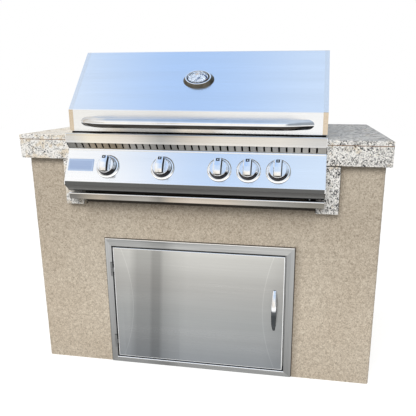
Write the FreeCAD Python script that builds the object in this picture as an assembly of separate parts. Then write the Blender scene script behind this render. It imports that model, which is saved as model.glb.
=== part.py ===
import FreeCAD, Part
import math
import os

# Outdoor kitchen island: a stuccoed base with a granite counter, a built-in gas grill and a storage door.
# Millimetres. The origin is on the floor under the middle of the base.
# +X runs to the right, +Y to the back and +Z up.

os.makedirs("parts", exist_ok=True)

# Base walls and frame
base_width = 1190.0
base_depth = 682.0
counter_height = 844.0
stucco_thickness = 10.0
board_thickness = 12.0
track_depth = 40.0
track_height = 30.0
stud_width = 30.0
frame_gauge = 1.2
back_stud_bays = 4

# Granite
slab_thickness = 15.0
slab_edge_radius = 2.0
side_overhang = 15.0
front_overhang = 25.0
back_overhang = 25.0
apron_height = 65.0
jamb_drop = 153.0
jamb_width_left = 63.0
jamb_width_right = 70.0

# Grill body
grill_centre = -10.0
grill_width = 842.0
firebox_width = 756.0
firebox_setback = 45.0
firebox_depth = 485.0
firebox_gauge = 2.0
firebox_foot_drop = 25.0
cutout_gap_left = 7.5
cutout_gap_right = 18.5
cutout_gap_back = 10.0
cutout_drop = 212.0
trim_thickness = 3.0
trim_back_width = 28.0
wing_front_rise = 26.0
wing_ear_radius = 14.0
rear_panel_rise = 206.0
rear_slot_count = 9
rear_slot_length = 50.0
rear_slot_height = 6.0
ledge_depth = 14.0
ledge_drop = 12.0

# Front of the grill, top to bottom, as reaches in front of the granite face and drops in height
sheet = 2.0
rail_reach = 23.0
rail_rise = 8.7
rail_height = 27.3
rail_bend = 4.0
vent_foot_reach = 3.0
vent_drop = 23.9
vent_head_gap = 1.4
panel_reach = 55.0
panel_drop = 100.8
panel_bend = 3.0
lip_drop = 11.7
valance_reach = 27.5
valance_drop = 24.0
end_cap_gap = 0.4
vent_slot_count = 35
vent_slot_pitch = 23.0
vent_slot_width = 5.8
vent_slot_length = 22.0
vent_cutter_height = 12.0
plate_width = 87.0
plate_height = 41.0
plate_thickness = 1.5
plate_corner = 2.0
plate_edge_margin = 7.0

# Knobs, valves and gas pipe
knob_pitch = 184.4
knob_centre_share = 0.53
knob_radius = 30.0
knob_base_height = 23.0
knob_taper = 3.0
knob_lift = 4.0
knob_wall = 4.0
knob_boss_radius = 9.0
grip_width = 30.0
grip_draft = 5.5
grip_height = 16.0
grip_edge = 1.5
grip_end_inset = 4.0
push_travel = 3.0
bezel_radius = 39.5
bezel_crown_radius = 36.0
bezel_hole = 32.0
bezel_height = 7.0
stem_radius = 4.0
shaft_clearance = 0.05
stem_hole_radius = 7.0
stem_into_knob = 14.0
stem_into_valve = 18.0
stem_end_gap = 1.0
valve_size = 22.0
valve_length = 45.0
valve_gap = 8.0
manifold_radius = 9.0
manifold_bore = 7.0
manifold_reach = 52.0
spud_radius = 5.0
spud_length = 42.0
inlet_hex_width = 24.0
inlet_hex_length = 12.0
inlet_radius = 7.9
inlet_length = 16.0

# Burners and racks
burner_radius = 15.0
burner_wall = 1.2
burner_mouth = 22.0
burner_back_gap = 42.0
burner_axis_drop = 96.0
burner_tab_width = 20.0
burner_tab_thickness = 2.0
burner_hole_gap = 0.5
heat_plate_width = 120.0
heat_plate_rise = 26.0
heat_plate_gauge = 1.5
heat_plate_drop = 70.0
grate_count = 4
grate_gap = 2.0
grate_side_gap = 3.0
grate_end_gap = 2.0
grate_rod_radius = 4.0
grate_rods = 11
grate_cross_radius = 3.2
grate_cross_drop = 4.8
grate_cross_rods = 3
rear_burner_width = 400.0
rear_burner_height = 64.0
rear_burner_depth = 24.0
rear_burner_rim = 10.0
rear_burner_recess = 6.0
rear_burner_rise = 40.0
rack_depth = 100.0
rack_back_gap = 44.0
rack_rise = 125.0
rack_rod_radius = 3.0
rack_cross_radius = 2.4
rack_cross_rods = 15

# Drip tray
pan_half_width = 365.0
pan_height = 22.0
pan_gauge = 1.5
pan_back_gap = 14.0
runner_leg = 20.0
runner_height = 46.0
runner_gauge = 2.0
slide_gap = 0.3
tray_front_reach = 27.0
tray_front_thickness = 18.0
tray_front_height = 19.7
tray_front_gap = 9.0
tray_bend = 3.0

# Hood
hood_gap = 6.2
band_setback = 12.6
band_height = 67.6
slope_run = 172.8
slope_rise = 191.4
hood_top_depth = 369.6
hood_back_drop = 33.0
hood_bend = 9.0
hood_sheet = 1.5
hem_bend = 2.25
liner_gap = 10.5
liner_sheet = 1.2
end_width = 15.0
end_web = 3.0
end_rim = 14.0
end_back_drop = 78.0
end_foot_setback = 29.0
hinge_inset = 30.0
hinge_drop = 52.0
pin_radius = 5.0
pin_shoulder_radius = 8.0
pin_side_gap = 0.4
pin_head_radius = 9.0
pin_head_height = 3.0
boss_radius = 12.0

# Hood handle
handle_radius = 15.9
handle_wall = 1.5
handle_end_setback = 66.5
handle_bend_run = 56.0
handle_reach = 45.0
handle_bend_radius = 60.0
handle_rise = 29.7
handle_overrun = 1.6
handle_bolt_radius = 3.0
handle_bolt_length = 14.0

# Thermometer
gauge_aspect = 0.7
gauge_flange_radius = 52.0
gauge_flange_height = 2.0
gauge_foot_radius = 49.5
gauge_rim_radius = 43.5
gauge_face_radius = 38.5
gauge_cup_height = 14.0
gauge_floor = 6.0
dial_thickness = 0.8
glass_thickness = 1.5
glass_depth = 1.2
needle_length = 23.0
needle_tail = 8.0
needle_width = 3.0
needle_tip = 1.0
needle_thickness = 0.8
needle_lift = 0.8
needle_rest_angle = 135.0
needle_hub = 4.0
needle_shaft = 1.5
needle_shaft_depth = 4.0
needle_shaft_gap = 0.5
probe_radius = 3.0
probe_length = 70.0
probe_hole_radius = 4.0

# Storage door
door_centre = -9.0
door_leaf_width = 608.4
door_leaf_height = 427.2
door_gap = 4.5
door_border_left = 22.3
door_border_right = 26.3
door_border_top = 27.7
door_border_bottom = 20.7
door_frame_proud = 4.0
door_gauge = 1.5
door_thickness = 20.0
door_return = 26.0
door_cutout_gap = 1.5
stop_width = 14.0
stop_gap = 0.4
liner_height = 12.0
liner_border = 56.0
door_hinge_height = 48.0
door_hinge_rise = 34.8
door_hinge_drop = 60.4
door_hinge_inset = 2.0
knuckle_radius = 3.2
knuckle_gap = 0.4
knuckle_room = 0.8
hinge_strap_thickness = 2.0
hinge_pin_radius = 1.8
hinge_pin_head = 3.0
catch_width = 46.0
catch_height = 14.0
catch_depth = 12.0

# Door handle
pull_edge_gap = 32.7
pull_rise = 153.8
pull_length = 151.0
pull_reach = 30.0
pull_thickness = 9.0
pull_width_mid = 17.0
pull_width_top = 11.0
pull_width_bottom = 9.0
pull_widest_share = 0.42
pull_foot = 14.4

# Back vent
vent_panel_width = 300.0
vent_panel_height = 150.0
vent_panel_inset = 145.0
vent_panel_rise = 55.0
vent_panel_gauge = 2.0
vent_panel_border = 20.0
vent_louvres = 6
louvre_height = 7.0

# Places worked out from the sizes
left_wall = -base_width / 2
right_wall = base_width / 2
front_wall = -base_depth / 2
back_wall = base_depth / 2
slab_bottom = counter_height - slab_thickness
apron_bottom = slab_bottom - apron_height
granite_front = front_wall - front_overhang
granite_back = back_wall + back_overhang
granite_left = left_wall - side_overhang
granite_right = right_wall + side_overhang
coat = stucco_thickness + board_thickness
frame_left = left_wall + coat
frame_right = right_wall - coat
frame_front = front_wall + coat
frame_back = back_wall - coat
frame_bottom = board_thickness

grill_left = grill_centre - grill_width / 2
grill_right = grill_centre + grill_width / 2
box_left = grill_centre - firebox_width / 2
box_right = grill_centre + firebox_width / 2
box_front = granite_front + firebox_setback
box_back = box_front + firebox_depth
cutout_left = box_left - cutout_gap_left
cutout_right = box_right + cutout_gap_right
cutout_back = box_back + cutout_gap_back
cutout_bottom = counter_height - cutout_drop

rail_front = granite_front - rail_reach
rail_top = counter_height + rail_rise
rail_bottom = rail_top - rail_height
vent_foot = (granite_front - vent_foot_reach, rail_bottom - vent_drop)
panel_foot = (granite_front - panel_reach, vent_foot[1] - panel_drop)
lip_foot = (panel_foot[0], panel_foot[1] - lip_drop)
valance_foot = (granite_front - valance_reach, lip_foot[1] - valance_drop)

band_bottom = rail_top + hood_gap
band_top = band_bottom + band_height
band_front = granite_front + band_setback
slope_top = (band_front + slope_run, band_top + slope_rise)
hood_back = slope_top[0] + hood_top_depth
handle_half_span = grill_width / 2 - handle_end_setback
hinge_y = hood_back - hinge_inset
hinge_z = slope_top[1] - hinge_drop
rear_panel_top = counter_height + rear_panel_rise
ledge_top = counter_height - ledge_drop
box_bottom = valance_foot[1] - firebox_foot_drop

door_face = front_wall - door_frame_proud
door_left = door_centre - door_leaf_width / 2
door_right = door_left + door_leaf_width
door_bottom = door_border_bottom + door_gap
door_top = door_bottom + door_leaf_height
doorway_left = door_left - door_gap
doorway_right = door_right + door_gap
doorway_bottom = door_bottom - door_gap
doorway_top = door_top + door_gap
pull_x = door_right - pull_edge_gap
pull_bottom = door_bottom + pull_rise
pull_top = pull_bottom + pull_length
vent_panel_x = right_wall - vent_panel_inset - vent_panel_width / 2
vent_panel_z = vent_panel_rise + vent_panel_height / 2
door_cut_left = doorway_left - door_gauge - door_cutout_gap
door_cut_right = doorway_right + door_gauge + door_cutout_gap
door_cut_top = doorway_top + door_gauge + door_cutout_gap


def box(x, y, z):
    """Block between two limits on each axis."""
    corner = FreeCAD.Vector(x[0], y[0], z[0])
    return Part.makeBox(x[1] - x[0], y[1] - y[0], z[1] - z[0], corner)


def rod(radius, start, end):
    """Round bar from one point to another."""
    along = end - start
    return Part.makeCylinder(radius, along.Length, start, along)


def line(start, end):
    """Straight edge between two points."""
    return Part.LineSegment(start, end).toShape()


def rounded_path(points, radii):
    """Edges through (y, z) points, with each inner corner rounded by its own radius."""
    corners = [FreeCAD.Vector(0, y, z) for y, z in points]
    edges = []
    start = corners[0]
    for i, radius in enumerate(radii, 1):
        if radius <= 0:
            edges.append(line(start, corners[i]))
            start = corners[i]
            continue
        back = (corners[i - 1] - corners[i]).normalize()
        ahead = (corners[i + 1] - corners[i]).normalize()
        half = back.getAngle(ahead) / 2
        reach = radius / math.tan(half)
        first = corners[i] + back * reach
        last = corners[i] + ahead * reach
        bisector = (back + ahead).normalize()
        middle = corners[i] + bisector * (radius / math.sin(half) - radius)
        edges.append(line(start, first))
        edges.append(Part.Arc(first, middle, last).toShape())
        start = last
    edges.append(line(start, corners[-1]))
    return edges


def offset_points(points, distance):
    """The same (y, z) path moved sideways, to the left of its direction, with mitred corners."""
    count = len(points)
    normals = []
    for i in range(count - 1):
        run = FreeCAD.Vector(points[i + 1][0] - points[i][0], points[i + 1][1] - points[i][1], 0)
        run.normalize()
        normals.append(FreeCAD.Vector(-run.y, run.x, 0))
    moved = []
    for i in range(count):
        before = normals[max(i - 1, 0)]
        after = normals[min(i, count - 2)]
        mitre = (before + after) * (distance / (1 + before.dot(after)))
        moved.append((points[i][0] + mitre.x, points[i][1] + mitre.y))
    return moved


def turn_side(points, i):
    """1 where the path turns left at a point and -1 where it turns right."""
    ay, az = points[i][0] - points[i - 1][0], points[i][1] - points[i - 1][1]
    by, bz = points[i + 1][0] - points[i][0], points[i + 1][1] - points[i][1]
    return 1 if ay * bz - az * by > 0 else -1


def folded_sheet(points, radii, thickness, x):
    """Sheet of one thickness, folded along a (y, z) path and running in X.

    The path is the outer face, and the metal lies to the left of its direction.
    """
    inner_points = offset_points(points, thickness)
    inner_radii = []
    for i, radius in enumerate(radii, 1):
        inner_radii.append(max(radius - turn_side(points, i) * thickness, 0) if radius > 0 else 0)
    outer = rounded_path(points, radii)
    inner = rounded_path(inner_points, inner_radii)
    ends = [
        line(FreeCAD.Vector(0, *points[0]), FreeCAD.Vector(0, *inner_points[0])),
        line(FreeCAD.Vector(0, *points[-1]), FreeCAD.Vector(0, *inner_points[-1])),
    ]
    wire = Part.Wire(Part.__sortEdges__(outer + inner + ends))
    face = Part.Face(wire)
    face.translate(FreeCAD.Vector(x[0], 0, 0))
    return face.extrude(FreeCAD.Vector(x[1] - x[0], 0, 0))


def prism(points, radii, x):
    """Closed (y, z) outline running in X, with rounded inner corners along its open path."""
    edges = rounded_path(points, radii)
    edges.append(line(FreeCAD.Vector(0, *points[-1]), FreeCAD.Vector(0, *points[0])))
    face = Part.Face(Part.Wire(Part.__sortEdges__(edges)))
    face.translate(FreeCAD.Vector(x[0], 0, 0))
    return face.extrude(FreeCAD.Vector(x[1] - x[0], 0, 0))


def channel(x, y, z, along, opening):
    """Light-gauge steel channel: a block hollowed out on the side named by opening."""
    limits = {"x": x, "y": y, "z": z}
    hollow = {}
    for axis, (low, high) in limits.items():
        if axis == along:
            hollow[axis] = (low, high)
        elif opening == "+" + axis:
            hollow[axis] = (low + frame_gauge, high)
        elif opening == "-" + axis:
            hollow[axis] = (low, high - frame_gauge)
        else:
            hollow[axis] = (low + frame_gauge, high - frame_gauge)
    return box(x, y, z).cut(box(hollow["x"], hollow["y"], hollow["z"]))


def save(node, *solids):
    """Write one node, which is one solid or a group of separate solids."""
    for solid in solids:
        if not solid.isValid() or len(solid.Solids) != 1:
            print("check", node, solid.isValid(), len(solid.Solids))
    shape = solids[0] if len(solids) == 1 else Part.makeCompound(list(solids))
    shape.exportStep("parts/" + node + ".step")


# Frame on the panel, for what stands square to it
panel_run = FreeCAD.Vector(0, panel_foot[0] - vent_foot[0], panel_foot[1] - vent_foot[1])
panel_down = FreeCAD.Vector(panel_run).normalize()
panel_out = FreeCAD.Vector(0, panel_down.z, -panel_down.y)
knob_offsets = [-1.5 * knob_pitch, -0.5 * knob_pitch, 0.5 * knob_pitch, knob_pitch, 1.5 * knob_pitch]
burner_offsets = [-1.5 * knob_pitch, -0.5 * knob_pitch, 0.5 * knob_pitch, 1.5 * knob_pitch]


def panel_point(across, share, out):
    """Point over the panel: across from the grill's middle, down by a share of its height, out from it."""
    top = FreeCAD.Vector(grill_centre + across, vent_foot[0], vent_foot[1])
    return top + panel_run * share + panel_out * out


# Frame on the hood's slope, for the thermometer
slope_up = FreeCAD.Vector(0, slope_run, slope_rise).normalize()
slope_out = FreeCAD.Vector(0, -slope_up.z, slope_up.y)
slope_middle = FreeCAD.Vector(grill_centre, band_front + slope_run / 2, band_top + slope_rise / 2)
slope_turn = FreeCAD.Rotation(FreeCAD.Vector(1, 0, 0), math.degrees(math.atan2(slope_up.z, slope_up.y)))


def slope_point(out):
    """Point on the thermometer's axis, out from the hood's face."""
    return slope_middle + slope_out * out


def frame_rails():
    """Bottom and top tracks, the rail under the grill and the header over the door."""
    bottom = (frame_bottom, frame_bottom + track_height)
    top = (slab_bottom - track_height, slab_bottom)
    front = (frame_front, frame_front + track_depth)
    back = (frame_back - track_depth, frame_back)
    between = (front[1], back[0])
    left = (frame_left, frame_left + track_depth)
    right = (frame_right - track_depth, frame_right)
    opening_posts = (cutout_left, cutout_right)
    sill = (cutout_bottom - track_height, cutout_bottom)
    header = (door_cut_top, door_cut_top + track_height)
    return [
        channel((frame_left, door_cut_left), front, bottom, "x", "+z"),
        channel((door_cut_right, frame_right), front, bottom, "x", "+z"),
        channel((frame_left, frame_right), back, bottom, "x", "+z"),
        channel(left, between, bottom, "y", "+z"),
        channel(right, between, bottom, "y", "+z"),
        channel((frame_left, cutout_left), front, top, "x", "-z"),
        channel((cutout_right, frame_right), front, top, "x", "-z"),
        channel((frame_left, frame_right), back, top, "x", "-z"),
        channel(left, between, top, "y", "-z"),
        channel(right, between, top, "y", "-z"),
        channel(opening_posts, front, sill, "x", "-z"),
        channel(opening_posts, front, header, "x", "+z"),
    ]


def frame_studs():
    """Posts inside the tracks: corners, sides, back bays, the grill's two and the door's two."""
    low = frame_bottom + frame_gauge
    high = slab_bottom - frame_gauge
    front = (frame_front + frame_gauge, frame_front + track_depth - frame_gauge)
    back = (frame_back - track_depth + frame_gauge, frame_back - frame_gauge)
    studs = [
        channel((frame_left, frame_left + stud_width), front, (low, high), "z", "+x"),
        channel((frame_right - stud_width, frame_right), front, (low, high), "z", "-x"),
        channel((cutout_left - stud_width, cutout_left), front, (low, high), "z", "-x"),
        channel((cutout_right, cutout_right + stud_width), front, (low, high), "z", "+x"),
        channel((door_cut_left - stud_width, door_cut_left), front, (low, door_cut_top), "z", "-x"),
        channel((door_cut_right, door_cut_right + stud_width), front, (low, door_cut_top), "z", "+x"),
    ]
    bay = (frame_right - frame_left - stud_width) / back_stud_bays
    for i in range(back_stud_bays + 1):
        start = frame_left + i * bay
        studs.append(channel((start, start + stud_width), back, (low, high), "z", "+x"))
    for inner in (frame_left, frame_right - track_depth):
        across = (inner + frame_gauge, inner + track_depth - frame_gauge)
        middle = (-stud_width / 2, stud_width / 2)
        studs.append(channel(across, middle, (low, high), "z", "+y"))
    return studs


def front_sheet(y, left, right):
    """Front wall layer with the grill's notch in its top edge and the doorway in its foot."""
    wall = box((left, right), y, (0, slab_bottom))
    notch = box((cutout_left, cutout_right), y, (cutout_bottom, slab_bottom))
    doorway = box((door_cut_left, door_cut_right), y, (0, door_cut_top))
    return wall.cut(notch).cut(doorway)


def vent_hole(y):
    """Hole through the back wall behind the vent panel."""
    half_width = vent_panel_width / 2 - vent_panel_border
    half_height = vent_panel_height / 2 - vent_panel_border
    across = (vent_panel_x - half_width, vent_panel_x + half_width)
    return box(across, y, (vent_panel_z - half_height, vent_panel_z + half_height))


def wall_layer(left, right, front, back, thickness):
    """Back, left and right walls of one layer."""
    inner_front = front + thickness
    inner_back = back - thickness
    back_sheet = box((left, right), (inner_back, back), (0, slab_bottom))
    return [
        back_sheet.cut(vent_hole((inner_back, back))),
        box((left, left + thickness), (inner_front, inner_back), (0, slab_bottom)),
        box((right - thickness, right), (inner_front, inner_back), (0, slab_bottom)),
    ]


def base():
    """Steel frame, cement boards and stucco."""
    save("frame_rails", *frame_rails())
    save("frame_studs", *frame_studs())
    board_left = left_wall + stucco_thickness
    board_right = right_wall - stucco_thickness
    board_front = front_wall + stucco_thickness
    board_back = back_wall - stucco_thickness
    floor = box((frame_left, frame_right), (frame_front, frame_back), (0, board_thickness))
    save("board_front", front_sheet((board_front, board_front + board_thickness), board_left, board_right))
    walls = wall_layer(board_left, board_right, board_front, board_back, board_thickness)
    save("cement_boards", floor, *walls)
    save("stucco_front", front_sheet((front_wall, board_front), left_wall, right_wall))
    save("stucco_walls", *wall_layer(left_wall, right_wall, front_wall, back_wall, stucco_thickness))


def rear_vent():
    """Louvred steel panel over the hole in the back wall."""
    width = (vent_panel_x - vent_panel_width / 2, vent_panel_x + vent_panel_width / 2)
    height = (vent_panel_z - vent_panel_height / 2, vent_panel_z + vent_panel_height / 2)
    face = (back_wall, back_wall + vent_panel_gauge)
    panel = box(width, face, height)
    inner_height = vent_panel_height - 2 * vent_panel_border
    pitch = inner_height / vent_louvres
    inside = (width[0] + vent_panel_border, width[1] - vent_panel_border)
    for i in range(vent_louvres):
        low = height[0] + vent_panel_border + (i + 0.5) * pitch - louvre_height / 2
        panel = panel.cut(box(inside, face, (low, low + louvre_height)))
    save("rear_vent", panel)


def granite():
    """Slab with its cut-out open to the front, the strips under its edge and the two beside the grill."""
    slab = box((granite_left, granite_right), (granite_front, granite_back), (slab_bottom, counter_height))
    hole = box((cutout_left, cutout_right), (granite_front, cutout_back), (slab_bottom, counter_height))
    slab = slab.cut(hole)
    rim = []
    for edge in slab.Edges:
        low, high = edge.BoundBox, edge.BoundBox.ZMax
        outer = low.XMax < granite_left + 1 or low.XMin > granite_right - 1
        outer = outer or low.YMax < granite_front + 1 or low.YMin > granite_back - 1
        if outer and abs(high - counter_height) < 0.01 and low.ZLength < 0.01:
            rim.append(edge)
    slab = slab.makeFillet(min(slab_edge_radius, slab_thickness / 3), rim)
    save("countertop_slab", slab)
    strip = (apron_bottom, slab_bottom)
    front = (granite_front, front_wall)
    save("apron_front",
         box((granite_left, cutout_left), front, strip),
         box((cutout_right, granite_right), front, strip))
    save("apron_walls",
         box((granite_left, left_wall), (front_wall, back_wall), strip),
         box((right_wall, granite_right), (front_wall, back_wall), strip),
         box((granite_left, granite_right), (back_wall, granite_back), strip))
    jamb = (apron_bottom - jamb_drop, apron_bottom)
    save("jamb_strips",
         box((cutout_left - jamb_width_left, cutout_left), front, jamb),
         box((cutout_right, cutout_right + jamb_width_right), front, jamb))


def firebox():
    """Four walls of the grill body and the trim that hangs it on the counter."""
    inner_left = box_left + firebox_gauge
    inner_right = box_right - firebox_gauge
    wing_top = counter_height + wing_front_rise
    outline = [
        (box_front, box_bottom),
        (box_front, wing_top),
        ((box_front + box_back) / 2, wing_top),
        (hinge_y - wing_ear_radius, hinge_z),
        (box_back, rear_panel_top),
        (box_back, box_bottom),
    ]
    sides = []
    for x in ((box_left, inner_left), (inner_right, box_right)):
        side = prism(outline, [0] * (len(outline) - 2), x)
        centre = FreeCAD.Vector(x[0], hinge_y, hinge_z)
        width = FreeCAD.Vector(x[1] - x[0], 0, 0)
        side = side.fuse(rod(wing_ear_radius, centre, centre + width)).removeSplitter()
        sides.append(side.cut(rod(pin_radius + shaft_clearance, centre, centre + width)))
    save("firebox_sides", *sides)

    inner = (inner_left, inner_right)
    front_plate = (box_front, box_front + firebox_gauge)
    front = box(inner, front_plate, (valance_foot[1] + sheet, rail_top))
    ledge = (ledge_top - firebox_gauge, ledge_top)
    front = front.fuse(box(inner, (front_plate[1], front_plate[1] + ledge_depth), ledge))
    burner_z = counter_height - burner_axis_drop
    for offset in burner_offsets:
        start = FreeCAD.Vector(grill_centre + offset, front_plate[0], burner_z)
        end = FreeCAD.Vector(grill_centre + offset, front_plate[1], burner_z)
        front = front.cut(rod(burner_radius + burner_hole_gap, start, end))
    save("firebox_front", front.removeSplitter())

    back_plate = (box_back - firebox_gauge, box_back)
    rear = box(inner, back_plate, (box_bottom, rear_panel_top))
    rear = rear.fuse(box(inner, (back_plate[0] - ledge_depth, back_plate[0]), ledge)).removeSplitter()
    pitch = (inner_right - inner_left) / rear_slot_count
    slot_low = rear_panel_top - 3 * rear_slot_height
    for i in range(rear_slot_count):
        middle = inner_left + (i + 0.5) * pitch
        across = (middle - rear_slot_length / 2, middle + rear_slot_length / 2)
        rear = rear.cut(box(across, back_plate, (slot_low, slot_low + rear_slot_height)))
    save("firebox_rear", rear)

    level = (counter_height, counter_height + trim_thickness)
    trim = box((grill_left, grill_right), (granite_front, box_back + trim_back_width), level)
    trim = trim.cut(box((box_left, box_right), (granite_front, box_back), level))
    save("counter_trim", trim)


def grill_front():
    """Rail, vent strip, control panel, valance and the caps that close their ends."""
    cap = sheet
    width = (grill_left + cap, grill_right - cap)
    rail_path = [
        (vent_foot[0], rail_bottom),
        (rail_front, rail_bottom),
        (rail_front, rail_top),
        (box_front, rail_top),
    ]
    rail = folded_sheet(rail_path[::-1], [rail_bend, rail_bend], sheet, width)
    save("front_rail", rail)

    foot = FreeCAD.Vector(0, *vent_foot)
    head = FreeCAD.Vector(0, rail_front + rail_bend, rail_bottom)
    strip_up = (head - foot).normalize()
    strip_path = [(head.y, head.z - vent_head_gap), vent_foot]
    strip = folded_sheet(strip_path, [], sheet, width)
    middle = (foot + head) / 2
    strip_in = FreeCAD.Vector(0, -strip_up.z, strip_up.y) * -1
    first = grill_centre - vent_slot_pitch * (vent_slot_count - 1) / 2
    turn = math.degrees(math.atan2(strip_up.z, strip_up.y))
    cutter = Part.makeBox(vent_slot_width, vent_slot_length, vent_cutter_height)
    cutter.translate(FreeCAD.Vector(-vent_slot_width, -vent_slot_length, -vent_cutter_height) / 2)
    cutter.rotate(FreeCAD.Vector(), FreeCAD.Vector(1, 0, 0), turn)
    slots = []
    for i in range(vent_slot_count):
        slot = cutter.copy()
        centre = FreeCAD.Vector(first + i * vent_slot_pitch, middle.y, middle.z)
        slot.translate(centre + strip_in * (sheet / 2))
        slots.append(slot)
    save("vent_strip", strip.cut(Part.makeCompound(slots)))

    panel = folded_sheet([vent_foot, panel_foot, lip_foot], [panel_bend], sheet, width)
    for offset in knob_offsets:
        start = panel_point(offset, knob_centre_share, -2 * sheet)
        end = panel_point(offset, knob_centre_share, sheet)
        panel = panel.cut(rod(stem_hole_radius, start, end))
    save("control_panel", panel)

    valance_path = [
        (lip_foot[0] + sheet, lip_foot[1]),
        valance_foot,
        (box_front, valance_foot[1]),
    ]
    valance = folded_sheet(valance_path, [panel_bend], sheet, width)
    behind = (granite_front - end_cap_gap, box_front)
    level = (valance_foot[1] - 1, valance_foot[1] + sheet + 1)
    valance = valance.cut(box((grill_left, box_left), behind, level))
    valance = valance.cut(box((box_right, grill_right), behind, level))
    save("panel_valance", valance)

    outline = [
        (box_front, rail_top),
        (rail_front, rail_top),
        (rail_front, rail_bottom),
        vent_foot,
        panel_foot,
        lip_foot,
        valance_foot,
        (granite_front - end_cap_gap, valance_foot[1]),
        (granite_front - end_cap_gap, counter_height + trim_thickness + end_cap_gap),
        (box_front, counter_height + trim_thickness + end_cap_gap),
    ]
    bends = [rail_bend, 0, 0, panel_bend, 0, 0, 0, 0]
    save("panel_end_caps",
         prism(outline, bends, (grill_left, grill_left + cap)),
         prism(outline, bends, (grill_right - cap, grill_right)))


def name_plate():
    """Bare plate at the panel's left end."""
    plate = Part.makeBox(plate_width, plate_height, plate_thickness,
                         FreeCAD.Vector(0, -plate_height / 2, 0))
    corners = [edge for edge in plate.Edges if edge.BoundBox.ZLength > plate_thickness / 2]
    plate = plate.makeFillet(plate_corner, corners)
    plate.rotate(FreeCAD.Vector(), FreeCAD.Vector(1, 0, 0),
                 math.degrees(math.atan2(panel_down.z, panel_down.y)) + 180)
    plate.translate(panel_point(plate_edge_margin - grill_width / 2, 0.5, 0))
    save("name_plate", plate)


def knobs():
    """Five knobs on their stems, with bezels on the panel and valves behind it."""
    bezels = []
    valves = []
    for number, offset in enumerate(knob_offsets, 1):
        def place(out, offset=offset):
            return panel_point(offset, knob_centre_share, out)

        skirt = Part.makeCone(bezel_radius, bezel_crown_radius, bezel_height, place(0), panel_out)
        well = rod(bezel_hole, place(sheet), place(bezel_height + 1))
        bezels.append(skirt.cut(well).cut(rod(stem_hole_radius, place(-1), place(bezel_height))))

        base_bottom = sheet + knob_lift
        base_top = base_bottom + knob_base_height
        top_radius = knob_radius - knob_taper
        disc = Part.makeCone(knob_radius, top_radius, knob_base_height, place(base_bottom), panel_out)
        length = 2 * knob_radius
        foot = grip_width / 2
        crest = foot - grip_draft
        section = [(-foot, 0), (foot, 0), (crest, grip_height), (-crest, grip_height), (-foot, 0)]
        outline = Part.makePolygon([FreeCAD.Vector(across, -length / 2, high) for across, high in section])
        grip = Part.Face(outline).extrude(FreeCAD.Vector(0, length, 0))
        ends = rod(knob_radius - grip_end_inset, FreeCAD.Vector(), FreeCAD.Vector(0, 0, grip_height))
        grip = grip.common(ends)
        edges = [edge for edge in grip.Edges if edge.BoundBox.ZMin > grip_height - 0.01]
        grip = grip.makeFillet(min(grip_edge, crest / 2), edges)
        turn = FreeCAD.Rotation(FreeCAD.Vector(0, 0, 1), panel_out)
        grip.Placement = FreeCAD.Placement(place(base_top), turn)
        bore_top = base_bottom + stem_into_knob
        hollow = rod(top_radius - knob_wall, place(base_bottom), place(base_top - knob_wall))
        hollow = hollow.cut(rod(knob_boss_radius, place(base_bottom), place(base_top)))
        knob = disc.fuse(grip).removeSplitter().cut(hollow)
        bore_radius = stem_radius + shaft_clearance
        knob = knob.cut(rod(bore_radius, place(base_bottom), place(bore_top + push_travel)))
        save("knob_%d" % number, knob)

        valve_start = -valve_gap
        valve_end = valve_start - valve_length
        stem_inner = valve_start - stem_into_valve
        save("valve_stem_%d" % number, rod(stem_radius, place(stem_inner), place(bore_top - stem_end_gap)))

        body = Part.makeBox(valve_size, valve_size, valve_length,
                            FreeCAD.Vector(-valve_size / 2, -valve_size / 2, 0))
        body.Placement = FreeCAD.Placement(place(valve_end), turn)
        body = body.fuse(rod(manifold_bore, place(valve_end - valve_gap), place(valve_end + 1)))
        spud_z = counter_height - burner_axis_drop
        spud_y = box_front - manifold_reach
        spud = rod(spud_radius, FreeCAD.Vector(grill_centre + offset, spud_y, spud_z),
                   FreeCAD.Vector(grill_centre + offset, spud_y + spud_length, spud_z))
        body = body.fuse(spud).removeSplitter()
        valves.append(body.cut(rod(bore_radius, place(stem_inner - stem_end_gap), place(valve_start))))
    save("knob_bezels", *bezels)
    save("valve_bodies", *valves)


def gas_pipe():
    """Manifold along the valves, closed at its left end, with the inlet fitting at its right."""
    seat = valve_gap + valve_length + manifold_radius
    centre = panel_point(0, knob_centre_share, -seat)
    left = grill_centre + knob_offsets[0] - 2 * valve_size
    right = grill_centre + knob_offsets[-1] + 2 * valve_size
    start = FreeCAD.Vector(left, centre.y, centre.z)
    end = FreeCAD.Vector(right, centre.y, centre.z)
    pipe = rod(manifold_radius, start, end)
    bore = rod(manifold_bore, FreeCAD.Vector(left + sheet, centre.y, centre.z), end)
    pipe = pipe.cut(bore)
    for offset in knob_offsets:
        inner = panel_point(offset, knob_centre_share, -seat)
        outer = panel_point(offset, knob_centre_share, -valve_gap - valve_length)
        pipe = pipe.cut(rod(manifold_bore, inner, outer))
    save("gas_manifold", pipe)

    corner_reach = inlet_hex_width / 2 / math.cos(math.pi / 6)
    corners = []
    for i in range(6):
        angle = i * math.pi / 3
        reach = FreeCAD.Vector(0, corner_reach * math.cos(angle), corner_reach * math.sin(angle))
        corners.append(end + reach)
    nut = Part.Face(Part.makePolygon(corners + corners[:1])).extrude(FreeCAD.Vector(inlet_hex_length, 0, 0))
    tip = FreeCAD.Vector(right + inlet_hex_length + inlet_length, centre.y, centre.z)
    fitting = nut.fuse(rod(inlet_radius, FreeCAD.Vector(right, centre.y, centre.z), tip)).removeSplitter()
    fitting = fitting.cut(rod(inlet_radius / 2, FreeCAD.Vector(right, centre.y, centre.z), tip))
    save("inlet_fitting", fitting)


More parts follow.
